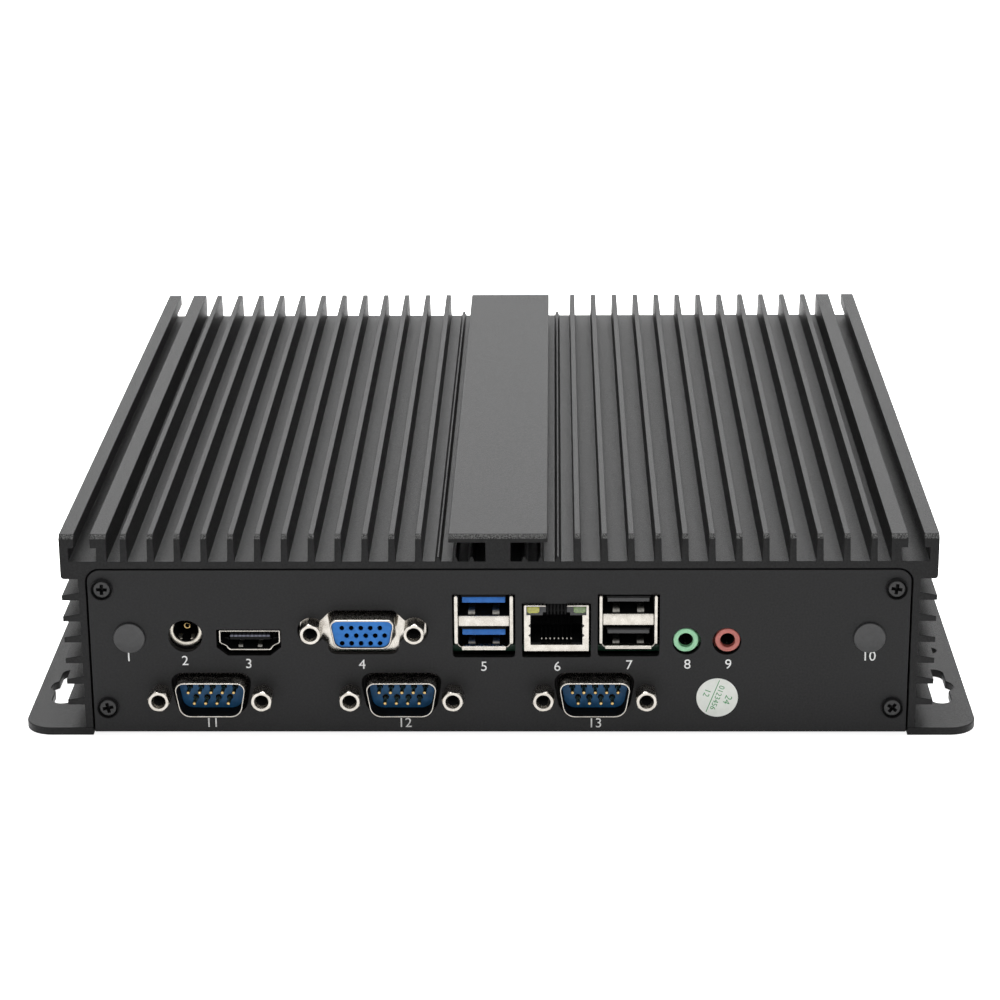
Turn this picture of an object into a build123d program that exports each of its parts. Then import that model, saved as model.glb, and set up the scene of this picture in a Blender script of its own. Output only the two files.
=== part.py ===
from build123d import *
import os
from math import atan, atan2, cos, degrees, pi, radians, sqrt, tan

# Fanless point of sale computer: a finned aluminium case on a base plate with mounting ears.
# Millimetres. X to the right, Y to the back, Z up, origin at the middle of the base plate's underside.

# Case extrusion
case_width = 211.0
case_depth = 218.0
case_height = 52.2
side_wall = 1.8
roof_web = 1.85
groove_depth = 6.8
end_bevel = 0.95

# Cooling fins on the roof
fins_each_side = 12
first_fin = 19.05
last_fin_gap = 4.1
fin_top = 1.4
fin_root = 1.75

# Plain band along the middle of the roof
band_width = 23.7
band_thickness = 2.0
band_column = 6.0
rib_spots = (6.35, 10.3, 14.4)
rib_root = 1.4
rib_top = 0.5
rib_height = 1.25

# Slotted rail along each top edge
rail_width = 11.4
rail_outer_wall = 2.15
slot_mouth = 3.9
slot_width = 6.75
slot_lip = 3.35
corner_block = 11.3
corner_round = 0.8

# Fins on the side walls
side_fin_count = 6
side_fin_reach = 4.1
side_fin_tip = 1.3
side_fin_root = 2.0
side_fin_below_block = 5.5
side_fin_above_plate = 6.1

# Base plate and its ears
plate_thickness = 2.0
ear_reach = 11.35
ear_corner = 6.8
plate_notch_gap = 0.3
keyhole_inset = 6.85
keyhole_end_inset = 26.0
keyhole_round = 4.0
keyhole_slot = 5.0
keyhole_length = 21.5
ear_hole = 2.1
ear_hole_inset = 6.25
ear_hole_end_inset = 49.7

# End panels
panel_thickness = 2.0
panel_gap = 0.35
panel_foot = 0.8
panel_corner = 3.1

# Screws: radii, head heights and lengths under the head
round_sides = 24
small_round_sides = 12
thread_sides = 6
panel_screw_thread = 1.5
panel_screw_head = 2.75
panel_screw_head_height = 1.85
panel_screw_length = 8.0
screw_clearance = 0.1
screw_side_inset = 3.9
screw_below_roof = 5.2
screw_above_plate = 5.4
boss_half = 3.5
base_screw_thread = 1.5
base_screw_head = 2.9
base_screw_length = 6.0
base_screw_end_inset = 21.0
thread_runout = 1.0

# Circuit boards
board_thickness = 1.6
board_side_gap = 14.6
board_back_gap = 42.1
board_shift = 1.0
board_rise = 0.3415
board_behind_panel = 1.9
board_hole_side = 5.0
board_hole_front = 34.0
board_hole_back = 6.0
board_screw_thread = 1.5
board_screw_head = 2.75
board_screw_head_height = 2.0
board_screw_length = 5.0
standoff_flats = 5.5
serial_board_width = 128.0
serial_board_depth = 30.0
serial_board_offset = 0.65
serial_spacer = 3.0
serial_board_gap = 0.2

# D-shaped connectors
jack_spacing = 25.0
jack_flats = 4.76
jack_thread = 1.4
jack_bore_depth = 4.5
jack_stud = 2.0
flange_width = 30.8
flange_height = 12.5
flange_thickness = 0.8
flange_corner = 1.0
shell_wall = 0.45
shell_slope = 10.0
insulator_width = 19.2

# Serial ports
serial_from_left = (29.15, 75.6, 122.55)
serial_lift = 8.95
serial_shell_width = 17.2
serial_shell_height = 8.9
serial_shell_corner = 1.6
serial_shell_length = 6.1
serial_jack_length = 5.0
serial_recess = 5.2
serial_pin = 0.5
serial_pin_pitch = 2.77
serial_row_gap = 2.84
serial_pin_setback = 0.9
serial_body_depth = 8.0
serial_cut_gap = 0.6
serial_body_gap = 0.1

# Display port with fifteen contacts
video_lift = 5.5
video_shell_width = 15.6
video_shell_height = 7.8
video_shell_corner = 1.3
video_shell_length = 6.0
video_jack_length = 5.4
video_contact = 0.55
video_contact_pitch = 2.29
video_row_gap = 1.98
video_contact_depth = 3.0
video_body_depth = 9.0
video_cut_width = 21.2
video_cut_height = 11.4
video_cut_shoulder = 2.8
video_lobe = 3.3

# Digital display port
digital_width = 15.0
digital_height = 5.5
digital_corner = 1.7
digital_lift = 0.3
digital_depth = 11.0
digital_proud = 0.3
digital_foot = 7.0
digital_wall = 0.5
digital_tongue_width = 11.2
digital_tongue_thickness = 1.3
digital_tongue_setback = 1.0

# Power inlet
inlet_lift = 3.8
inlet_hole = 4.1
inlet_sleeve_front = 4.4
inlet_sleeve_back = 3.6
inlet_sleeve_sides = 8
inlet_sleeve_bore = 3.05
inlet_setback = 3.0
inlet_lip = 0.8
inlet_depth = 9.5
inlet_body_width = 10.2
inlet_body_depth = 13.0
inlet_pin = 1.0
inlet_pin_setback = 3.2

# Paired bus ports
bus_lip_width = 14.45
bus_body_width = 13.4
bus_mouth_width = 12.5
bus_mouth_height = 5.1
bus_pitch = 8.0
bus_floor = 0.9
bus_roof = 0.5
bus_depth = 17.5
bus_proud = 0.9
bus_lip = 0.7
bus_mouth_depth = 12.0
bus_tongue_width = 10.7
bus_tongue_thickness = 1.8
bus_tongue_drop = 0.6
bus_tongue_setback = 1.2

# Network port
net_width = 15.9
net_height = 12.4
net_depth = 21.0
net_proud = 0.9
net_wall = 0.35
net_mouth_width = 12.6
net_mouth_height = 7.0
net_mouth_floor = 1.9
net_mouth_depth = 12.5
net_notch_width = 6.2
net_notch_height = 1.6
net_light_width = 2.6
net_light_height = 1.7
net_contact_count = 8
net_contact_pitch = 1.02
net_contact_width = 0.45
net_contact_length = 7.0
net_contact_tilt = 20.0

# Sound jacks
sound_lift = 2.65
sound_barrel = 3.05
sound_bore = 1.8
sound_hole = 3.5
sound_bore_depth = 11.0
sound_setback = 0.2
sound_body_front = 2.6
sound_body_width = 8.0
sound_body_depth = 12.5

# Blanking plugs in the two antenna holes
plug_from_side = 9.65
plug_lift = 3.5
plug_head = 3.85
plug_stem = 3.1
plug_head_height = 0.7
plug_stem_length = 3.4

# Port cut-outs in the front panel
cut_side_gap = 0.35
cut_bottom = 1.7

# Free widths in the upper row of ports, from plug to plug; a wider case spreads them in proportion
row_gaps = (4.65, 3.0, 4.6, 6.675, 2.425, 2.275, 2.625, 2.1, 26.35)

# Parts on the main board
block_from_drive = 9.0
block_from_memory = 11.5
processor_size = 30.0
processor_height = 2.6
block_size = 56.0
pad_thickness = 0.6
block_chamfer = 1.5
module_thickness = 1.2
module_lift = 3.0
chip_height = 1.0
socket_end = 1.2
socket_grip = 3.5
memory_from_side = 42.0
memory_width = 67.6
memory_depth = 30.0
memory_chips = 4
memory_chip = (12.0, 11.0)
memory_socket_width = 70.0
memory_socket_depth = 6.5
memory_socket_height = 5.4
drive_from_side = 38.0
socket_from_back = 16.9
drive_width = 30.0
drive_depth = 50.8
drive_chips = 2
drive_chip = (12.0, 18.0)
drive_socket_width = 32.4
drive_socket_depth = 8.0
drive_socket_height = 5.2
cell_from_side = 22.0
cell_from_drive = 27.5
cell_radius = 10.0
cell_height = 3.2
holder_wall = 1.2
holder_base = 1.0
header_spot = 8.0
header_width = 38.0
header_thick = 5.0
header_thin = 2.6
header_thick_height = 8.5

# Push button and light on the rear panel
button_from_side = 21.25
button_radius = 4.6
button_clearance = 0.1
button_travel = 1.2
button_proud = 1.0
button_length = 6.0
button_ring = 7.2
button_ring_height = 1.4
button_end_gap = 0.3
button_barrel = 6.0
button_barrel_length = 12.0
button_nut_flats = 14.0
button_nut_height = 2.0
light_from_button = 14.0
light_radius = 1.5
light_rim = 2.1
light_rim_height = 0.5
light_length = 5.0

# Worked-out places
wall_outer = case_width / 2 - side_fin_reach
wall_inner = wall_outer - side_wall
groove_floor = case_height - groove_depth
ceiling = groove_floor - roof_web
corner_bottom = case_height - corner_block
slot_centre = case_width / 2 - rail_outer_wall - slot_width / 2
rail_centre = case_width / 2 - rail_width / 2
last_fin = rail_centre - rail_width / 2 - last_fin_gap
fin_pitch = (last_fin - first_fin) / (fins_each_side - 1)
top_side_fin = corner_bottom - side_fin_below_block
lowest_side_fin = plate_thickness + side_fin_above_plate
side_fin_pitch = (top_side_fin - lowest_side_fin) / (side_fin_count - 1)
panel_half_width = wall_inner - panel_gap
opening_corner = panel_corner + panel_gap
serial_height = plate_thickness + serial_lift
serial_top = serial_height + flange_height / 2
bus_height = bus_floor + bus_pitch + bus_mouth_height + bus_roof
spare_height = ceiling - bus_height - board_thickness - serial_top
board_top = round(serial_top + board_thickness + board_rise * spare_height, 2)
video_height = board_top + video_lift
inlet_height = board_top + inlet_lift
sound_height = board_top + sound_lift
plug_height = board_top + plug_lift
plug_centre = panel_half_width - plug_from_side
row_widths = (
    2 * plug_head,
    inlet_body_width,
    digital_width,
    flange_width,
    bus_lip_width,
    net_width,
    bus_lip_width,
    sound_body_width,
    sound_body_width,
    2 * plug_head,
)
row_start = -plug_centre - plug_head
row_spread = (-2 * row_start - sum(row_widths)) / sum(row_gaps)
row_centres = [
    row_start + sum(row_widths[:i]) + row_widths[i] / 2 + row_spread * sum(row_gaps[:i])
    for i in range(len(row_widths))
]
inlet_centre, digital_centre, video_centre, bus_fast_centre, net_centre, bus_plain_centre = row_centres[1:7]
sound_centres = row_centres[7:9]
serial_centres = [offset - panel_half_width for offset in serial_from_left]
serial_board_centre = serial_centres[1] + serial_board_offset
panel_top = ceiling - panel_gap
inner_depth = case_depth - 2 * panel_thickness
screw_x = wall_inner - screw_side_inset
screw_heights = (plate_thickness + screw_above_plate, ceiling - screw_below_roof)
screw_points = [(side * screw_x, height) for side in (-1, 1) for height in screw_heights]
base_screw_y = case_depth / 2 - base_screw_end_inset
base_screw_spots = [(x * screw_x, y * base_screw_y) for x in (-1, 1) for y in (-1, 1)]
base_screw_sink = base_screw_head - base_screw_thread
sink_angle = degrees(atan(cos(pi / small_round_sides)))
plate_half_width = case_width / 2 + ear_reach
keyhole_x = plate_half_width - keyhole_inset
keyhole_y = case_depth / 2 - keyhole_end_inset
ear_hole_x = plate_half_width - ear_hole_inset
ear_hole_y = case_depth / 2 - ear_hole_end_inset
notch_depth = panel_thickness + plate_notch_gap
board_bottom = board_top - board_thickness
board_front = -case_depth / 2 + panel_thickness + board_behind_panel
board_back = case_depth / 2 - panel_thickness - board_back_gap
board_depth = board_back - board_front
board_width = 2 * (wall_inner - board_side_gap)
board_left = board_shift - board_width / 2
board_right = board_shift + board_width / 2
board_holes = [
    (x, y)
    for x in (board_left + board_hole_side, board_right - board_hole_side)
    for y in (board_front + board_hole_front, board_back - board_hole_back)
]
board_screw_hole = board_screw_length - board_thickness + thread_runout
flange_back = panel_thickness + flange_thickness
serial_size = (serial_shell_width, serial_shell_height, serial_shell_corner)
serial_core_front = panel_thickness - serial_shell_length + serial_recess
serial_board_top = serial_height - flange_height / 2 - serial_body_gap
serial_board_bottom = serial_board_top - board_thickness
serial_board_front = -case_depth / 2 + flange_back + serial_board_gap
serial_jacks = [(x + side * jack_spacing / 2, serial_height) for x in serial_centres for side in (-1, 1)]
video_size = (video_shell_width, video_shell_height, video_shell_corner)
video_core_front = panel_thickness - video_shell_length + shell_wall
video_jacks = [(video_centre + side * jack_spacing / 2, video_height) for side in (-1, 1)]
video_contacts = [
    (video_centre + (i + shift) * video_contact_pitch, video_height + row * video_row_gap)
    for row, shift in ((-1, -0.25), (0, 0.25), (1, -0.25))
    for i in range(-2, 3)
]
digital_middle = (digital_centre, board_top + digital_lift + digital_height / 2)
inlet_spot = (inlet_centre, inlet_height)
inlet_body_front = inlet_setback + inlet_lip
bus_top = board_top + bus_height
bus_mouths = [board_top + bus_floor + bus_mouth_height / 2 + i * bus_pitch for i in range(2)]
net_middle = (net_centre, board_top + net_height / 2)
net_inside = (net_width - 2 * net_wall, net_height - 2 * net_wall)
net_floor = board_top + net_mouth_floor
net_contact_root = -case_depth / 2 - net_proud + net_mouth_depth
net_contact_rise = net_contact_length * tan(radians(net_contact_tilt))
net_light_x = (net_inside[0] - net_light_width) / 2
net_light_height_up = board_top + net_height - net_wall - net_light_height / 2
net_light_spots = [(net_centre + side * net_light_x, net_light_height_up) for side in (-1, 1)]
plug_spots = [(side * plug_centre, plug_height) for side in (-1, 1)]
cut_floor = board_top - cut_bottom
square_cuts = [
    (digital_centre, digital_width, board_top + digital_lift + digital_height),
    (bus_fast_centre, bus_lip_width, bus_top),
    (bus_plain_centre, bus_lip_width, bus_top),
    (net_centre, net_width, board_top + net_height),
]
memory_spot = (board_right - memory_from_side, board_back - socket_from_back)
memory_front = memory_spot[1] + socket_grip - memory_depth
drive_spot = (board_left + drive_from_side, board_back - socket_from_back)
drive_front = drive_spot[1] + socket_grip - drive_depth
drive_side = drive_spot[0] + drive_width / 2
processor_spot = (
    drive_side + block_from_drive + block_size / 2,
    memory_front - block_from_memory - block_size / 2,
)
cell_spot = (board_left + cell_from_side, drive_front - cell_from_drive - cell_radius - holder_wall)
button_spot = (button_from_side - panel_half_width, plug_height)
light_spot = (button_spot[0] + light_from_button, plug_height)
processor_top = board_top + processor_height
pad_bottom = ceiling - pad_thickness
module_bottom = board_top + module_lift
header_middle = (serial_board_centre, serial_board_front + serial_board_depth - header_spot)
button_front = case_depth + button_ring_height
button_bore_depth = button_length - button_proud + button_travel + button_end_gap

os.makedirs("parts", exist_ok=True)


def upright(behind=0.0):
    # Plane that faces the viewer, a given distance behind the front of the case
    return Plane.XZ.offset(case_depth / 2 - behind)


def save(piece, name):
    piece.part.label = name
    export_step(piece.part, f"parts/{name}.step")
    print(name, len(piece.solids()), round(piece.part.volume, 1))


def large_round(radius, mode=Mode.ADD):
    # Outline of a round part or hole, as a polygon that keeps its mesh light
    return RegularPolygon(radius, round_sides, mode=mode)


def small_round(radius, mode=Mode.ADD):
    # The same with fewer sides, for screw heads and other small pieces that repeat
    return RegularPolygon(radius, small_round_sides, mode=mode)


def thread(radius, mode=Mode.ADD):
    # Outline of a screw thread or its hole, out of sight inside other pieces
    return RegularPolygon(radius, thread_sides, mode=mode)


def standing_box(centre, top, width):
    # Sketch of a body that stands on the main board, seen from the front
    with Locations((centre, top)):
        Rectangle(width, top - board_top, align=(Align.CENTER, Align.MAX))


def d_outline(width, height, corner):
    # Connector outline, wide at the top, with sides that lean in towards the bottom
    lean = height * tan(radians(shell_slope))
    with BuildSketch() as outline:
        with BuildLine():
            Polyline(
                (-width / 2, height / 2),
                (width / 2, height / 2),
                (width / 2 - lean, -height / 2),
                (-width / 2 + lean, -height / 2),
                close=True,
            )
        make_face()
        chamfer(outline.vertices(), corner)
    return outline.sketch


def d_core(width, height, corner):
    # Outline just inside the wall of a connector shell
    return d_outline(width - 2 * shell_wall, height - 2 * shell_wall, corner - shell_wall / 2)


def d_shell(centre, height, size, length):
    # Pressed steel connector shell: flange behind the front panel and a thin wall that stands forward
    with BuildPart() as shell:
        with BuildSketch(upright(panel_thickness)) as flange:
            with Locations((centre, height)):
                Rectangle(flange_width, flange_height)
            chamfer(flange.vertices(), flange_corner)
            with Locations((centre, height)):
                add(d_core(*size), mode=Mode.SUBTRACT)
            with Locations(*[(centre + side * jack_spacing / 2, height) for side in (-1, 1)]):
                thread(jack_thread, Mode.SUBTRACT)
        extrude(amount=-flange_thickness)
        with BuildSketch(upright(panel_thickness)):
            with Locations((centre, height)):
                add(d_outline(*size))
                add(d_core(*size), mode=Mode.SUBTRACT)
        extrude(amount=length)
    return shell


def d_insulator(centre, height, size, front, body_top, body_bottom, body_depth, contacts=()):
    # Moulded core inside a connector shell, wider behind the flange, with contact holes in front
    with BuildPart() as core:
        with BuildSketch(upright(front)):
            with Locations((centre, height)):
                add(d_core(*size))
        extrude(amount=front - flange_back)
        with BuildSketch(upright(flange_back)):
            with Locations((centre, body_top)):
                Rectangle(insulator_width, body_top - body_bottom, align=(Align.CENTER, Align.MAX))
        extrude(amount=-body_depth)
        if contacts:
            with BuildSketch(upright(front)):
                with Locations(*contacts):
                    RegularPolygon(video_contact, 6)
            extrude(amount=-video_contact_depth, mode=Mode.SUBTRACT)
    return core


def jackscrews(spots, seat_behind, length):
    # Hexagonal jackscrews, each with a threaded hole in front and a stud through the flange
    with BuildPart() as pair:
        with BuildSketch(upright(seat_behind)):
            with Locations(*spots):
                RegularPolygon(jack_flats / 2, 6, major_radius=False, rotation=30)
        extrude(amount=length)
        with BuildSketch(upright(seat_behind)):
            with Locations(*spots):
                thread(jack_thread)
        extrude(amount=seat_behind - flange_back - jack_stud)
        with BuildSketch(upright(seat_behind - length)):
            with Locations(*spots):
                small_round(jack_thread)
        extrude(amount=-jack_bore_depth, mode=Mode.SUBTRACT)
    return pair


def end_panel_outline():
    # Plate that fills the open end of the case, round at its top corners
    with BuildSketch() as outline:
        with Locations((0, (panel_top + panel_foot) / 2)):
            Rectangle(2 * panel_half_width, panel_top - panel_foot)
        fillet(outline.vertices().group_by(Axis.Y)[-1], panel_corner)
    return outline.sketch


def panel_screws(behind, way):
    # Pan-head screws of one end panel, their heads forward of the seat where way is 1 and behind it at -1
    with BuildPart() as screws:
        with BuildSketch(upright(behind)):
            with Locations(*screw_points):
                small_round(panel_screw_head)
        extrude(amount=way * panel_screw_head_height)
        with BuildSketch(upright(behind)):
            with Locations(*screw_points):
                thread(panel_screw_thread)
        extrude(amount=-way * panel_screw_length)
    return screws


def video_cut():
    # Opening with sloping shoulders that leaves part of the video port's flange in view
    with BuildSketch() as outline:
        Rectangle(video_cut_width, video_cut_height)
        chamfer(outline.vertices(), video_cut_shoulder)
    return outline.sketch


def digital_outline(inset):
    # Flat connector outline with its two lower corners cut off
    with BuildSketch() as outline:
        Rectangle(digital_width - 2 * inset, digital_height - 2 * inset)
        chamfer(outline.vertices().group_by(Axis.Y)[0], digital_corner)
    return outline.sketch


def edge_socket(spot, width, depth, height):
    # Socket on the main board, with a slot along its front for a module's edge
    with BuildPart() as socket:
        with BuildSketch(Plane.XY.offset(board_top)):
            with Locations(spot):
                Rectangle(width, depth, align=(Align.CENTER, Align.MIN))
        extrude(amount=height)
        with BuildSketch(Plane.XY.offset(module_bottom)):
            with Locations(spot):
                Rectangle(width - 2 * socket_end, socket_grip, align=(Align.CENTER, Align.MIN))
        extrude(amount=module_thickness, mode=Mode.SUBTRACT)
    return socket


def plug_in_module(spot, width, depth, chip_count, chip):
    # Small board that plugs into an edge socket, with a row of memory chips on top
    with BuildPart() as module:
        with BuildSketch(Plane.XY.offset(module_bottom)):
            with Locations((spot[0], spot[1] + socket_grip)):
                Rectangle(width, depth, align=(Align.CENTER, Align.MAX))
        extrude(amount=module_thickness)
        with BuildSketch(Plane.XY.offset(module_bottom + module_thickness)):
            with Locations((spot[0], spot[1] + socket_grip - depth / 2)):
                with GridLocations(width / chip_count, 0, chip_count, 1):
                    Rectangle(*chip)
        extrude(amount=chip_height)
    return module


# Finned case, one extrusion with the roof, both side walls and the screw bosses
fin_lean = degrees(atan2(groove_depth, (fin_root - fin_top) / 2))
rib_lean = degrees(atan2(rib_height, (rib_root - rib_top) / 2))
with BuildPart() as top_case:
    with BuildSketch(upright()):
        with Locations((0, groove_floor)):
            Rectangle(2 * wall_outer, roof_web, align=(Align.CENTER, Align.MAX))
            Rectangle(band_column, groove_depth, align=(Align.CENTER, Align.MIN))
        with Locations((0, case_height)):
            Rectangle(band_width, band_thickness, align=(Align.CENTER, Align.MAX))
        for side, outer_edge in ((-1, Align.MIN), (1, Align.MAX)):
            with Locations(*[(side * spot, groove_floor) for spot in rib_spots]):
                Trapezoid(rib_root, rib_height, rib_lean, align=(Align.CENTER, Align.MIN))
            fin_spots = [side * (first_fin + i * fin_pitch) for i in range(fins_each_side)]
            with Locations(*[(spot, groove_floor) for spot in fin_spots]):
                Trapezoid(fin_root, groove_depth, fin_lean, align=(Align.CENTER, Align.MIN))
            with Locations((side * rail_centre, groove_floor)):
                Rectangle(rail_width, groove_depth, align=(Align.CENTER, Align.MIN))
            with Locations((side * (wall_outer + wall_inner) / 2, plate_thickness)):
                Rectangle(side_wall, groove_floor - plate_thickness, align=(Align.CENTER, Align.MIN))
            with Locations((side * (wall_outer + side_fin_reach / 2), groove_floor)):
                Rectangle(side_fin_reach, groove_floor - corner_bottom, align=(Align.CENTER, Align.MAX))
            with Locations((side * case_width / 2, corner_bottom)):
                Rectangle(
                    corner_round,
                    corner_round,
                    align=(outer_edge, Align.MIN),
                    mode=Mode.SUBTRACT,
                )
            with Locations((side * (case_width / 2 - corner_round), corner_bottom + corner_round)):
                small_round(corner_round)
            with Locations((side * wall_inner, ceiling)):
                Rectangle(opening_corner, opening_corner, align=(outer_edge, Align.MAX))
            with Locations((side * (wall_inner - opening_corner), ceiling - opening_corner)):
                Circle(opening_corner, mode=Mode.SUBTRACT)
            side_fins = [top_side_fin - i * side_fin_pitch for i in range(side_fin_count)]
            with Locations(*[(side * wall_outer, height) for height in side_fins]):
                Polygon(
                    (0, 0),
                    (side * side_fin_reach, 0),
                    (side * side_fin_reach, side_fin_tip),
                    (0, side_fin_root),
                    align=None,
                )
            with Locations((side * slot_centre, groove_floor)):
                Rectangle(
                    slot_width,
                    groove_depth - slot_lip,
                    align=(Align.CENTER, Align.MIN),
                    mode=Mode.SUBTRACT,
                )
                Rectangle(slot_mouth, groove_depth, align=(Align.CENTER, Align.MIN), mode=Mode.SUBTRACT)
    extrude(amount=-case_depth)
    for end in (-1, 1):
        with BuildSketch(Plane.YZ):
            with Locations((end * case_depth / 2, case_height)):
                Rectangle(end_bevel * sqrt(2), end_bevel * sqrt(2), rotation=45)
        extrude(amount=case_width, both=True, mode=Mode.SUBTRACT)
    with BuildSketch(upright(panel_thickness)):
        for side, outer_edge in ((-1, Align.MIN), (1, Align.MAX)):
            with Locations((side * wall_inner, plate_thickness)):
                Rectangle(
                    screw_side_inset + boss_half,
                    screw_above_plate + boss_half,
                    align=(outer_edge, Align.MIN),
                )
            with Locations((side * wall_inner, ceiling)):
                Rectangle(
                    screw_side_inset + boss_half,
                    screw_below_roof + boss_half,
                    align=(outer_edge, Align.MAX),
                )
    extrude(amount=-inner_depth)
    for behind, way in ((panel_thickness, -1), (case_depth - panel_thickness, 1)):
        with BuildSketch(upright(behind)):
            with Locations(*screw_points):
                thread(panel_screw_thread)
        extrude(amount=way * (panel_screw_length - panel_thickness + thread_runout), mode=Mode.SUBTRACT)
    with BuildSketch(Plane.XY.offset(plate_thickness)):
        with Locations(*base_screw_spots):
            thread(base_screw_thread)
    extrude(amount=base_screw_length - plate_thickness + thread_runout, mode=Mode.SUBTRACT)
save(top_case, "top_case")

# Base plate with an ear along each side, notched at both ends so that the panels cover its edge
with BuildPart() as base_plate:
    with BuildSketch() as plate_outline:
        Rectangle(2 * plate_half_width, case_depth)
        fillet(plate_outline.vertices(), ear_corner)
        for end in (-1, 1):
            with Locations((0, end * (case_depth - notch_depth) / 2)):
                Rectangle(2 * wall_inner, notch_depth, mode=Mode.SUBTRACT)
            with Locations(*[(side * keyhole_x, end * keyhole_y) for side in (-1, 1)]):
                Circle(keyhole_round, mode=Mode.SUBTRACT)
                SlotOverall(keyhole_length, keyhole_slot, rotation=90, mode=Mode.SUBTRACT)
            with Locations((end * ear_hole_x, -end * ear_hole_y)):
                Circle(ear_hole, mode=Mode.SUBTRACT)
        with Locations(*base_screw_spots):
            thread(base_screw_thread, Mode.SUBTRACT)
    extrude(amount=plate_thickness)
    with BuildSketch():
        with Locations(*base_screw_spots):
            small_round(base_screw_head)
    extrude(amount=base_screw_sink, taper=sink_angle, mode=Mode.SUBTRACT)
save(base_plate, "base_plate")

# Countersunk screws that hold the plate to the case from below
with BuildPart() as base_screws:
    with BuildSketch():
        with Locations(*base_screw_spots):
            small_round(base_screw_head)
    extrude(amount=base_screw_sink, taper=sink_angle)
    with BuildSketch():
        with Locations(*base_screw_spots):
            thread(base_screw_thread)
    extrude(amount=base_screw_length)
save(base_screws, "base_screws")

# Front panel with the cut-outs of every port
with BuildPart() as front_panel:
    with BuildSketch(upright()):
        add(end_panel_outline())
        for centre, width, top in square_cuts:
            with Locations((centre, (top + cut_side_gap + cut_floor) / 2)):
                Rectangle(width + 2 * cut_side_gap, top + cut_side_gap - cut_floor, mode=Mode.SUBTRACT)
        with Locations(*[(centre, serial_height) for centre in serial_centres]):
            add(
                d_outline(
                    serial_shell_width + 2 * serial_cut_gap,
                    serial_shell_height + 2 * serial_cut_gap,
                    serial_shell_corner + serial_cut_gap / 2,
                ),
                mode=Mode.SUBTRACT,
            )
        with Locations((video_centre, video_height)):
            add(video_cut(), mode=Mode.SUBTRACT)
        with Locations(*video_jacks):
            small_round(video_lobe, Mode.SUBTRACT)
        with Locations(inlet_spot):
            large_round(inlet_hole, Mode.SUBTRACT)
        with Locations(*[(x, sound_height) for x in sound_centres]):
            large_round(sound_hole, Mode.SUBTRACT)
        with Locations(*plug_spots):
            small_round(plug_stem + screw_clearance, Mode.SUBTRACT)
        with Locations(*serial_jacks):
            thread(jack_thread + screw_clearance, Mode.SUBTRACT)
        with Locations(*screw_points):
            thread(panel_screw_thread + screw_clearance, Mode.SUBTRACT)
    extrude(amount=-panel_thickness)
save(front_panel, "front_panel")

# Plain rear panel with a hole for the push button and one for its light
with BuildPart() as rear_panel:
    with BuildSketch(upright(case_depth)):
        add(end_panel_outline())
        with Locations(button_spot):
            small_round(button_barrel + screw_clearance, Mode.SUBTRACT)
        with Locations(light_spot):
            small_round(light_radius + screw_clearance, Mode.SUBTRACT)
        with Locations(*screw_points):
            thread(panel_screw_thread + screw_clearance, Mode.SUBTRACT)
    extrude(amount=panel_thickness)
save(rear_panel, "rear_panel")

save(panel_screws(0.0, 1), "front_panel_screws")
save(panel_screws(case_depth, -1), "rear_panel_screws")

# Three serial ports with nine pins each, standing on their own board below the main board
for number, centre in enumerate(serial_centres, 1):
    save(d_shell(centre, serial_height, serial_size, serial_shell_length), f"serial_{number}_shell")
    core = d_insulator(
        centre,
        serial_height,
        serial_size,
        serial_core_front,
        serial_height + flange_height / 2,
        serial_board_top,
        serial_body_depth,
    )
    save(core, f"serial_{number}_insulator")
    with BuildPart() as pins:
        with BuildSketch(upright(serial_core_front)):
            for count, way in ((5, 1), (4, -1)):
                with Locations((centre, serial_height + way * serial_row_gap / 2)):
                    with GridLocations(serial_pin_pitch, 0, count, 1):
                        RegularPolygon(serial_pin, 6)
        extrude(amount=serial_recess - serial_pin_setback)
    save(pins, f"serial_{number}_pins")
    pair = jackscrews(serial_jacks[2 * number - 2 : 2 * number], 0.0, serial_jack_length)
    save(pair, f"serial_{number}_jackscrews")

# Display port with fifteen contact holes in three rows
save(d_shell(video_centre, video_height, video_size, video_shell_length), "video_shell")
video_insulator = d_insulator(
    video_centre,
    video_height,
    video_size,
    video_core_front,
    video_height + video_shell_height / 2,
    board_top,
    video_body_depth,
    video_contacts,
)
save(video_insulator, "video_insulator")
save(jackscrews(video_jacks, panel_thickness, video_jack_length), "video_jackscrews")

# Digital display port: steel shell with cut lower corners round a flat tongue
with BuildPart() as digital_shell:
    with BuildSketch(upright(-digital_proud)):
        with Locations(digital_middle):
            add(digital_outline(0))
    extrude(amount=-digital_depth)
    with BuildSketch(upright(-digital_proud)):
        with Locations(digital_middle):
            add(digital_outline(digital_wall))
    extrude(amount=-(digital_depth - digital_wall), mode=Mode.SUBTRACT)
    with BuildSketch(Plane.XY.offset(board_top)):
        with Locations((digital_centre, -case_depth / 2 - digital_proud + digital_depth)):
            Rectangle(
                digital_width - 2 * digital_corner,
                digital_foot,
                align=(Align.CENTER, Align.MAX),
            )
    extrude(amount=digital_lift)
save(digital_shell, "digital_port_shell")
with BuildPart() as digital_tongue:
    with BuildSketch(upright(digital_depth - digital_proud - digital_wall)):
        with Locations(digital_middle):
            Rectangle(digital_tongue_width, digital_tongue_thickness)
    extrude(amount=digital_depth - digital_wall - digital_tongue_setback)
save(digital_tongue, "digital_port_tongue")

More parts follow.
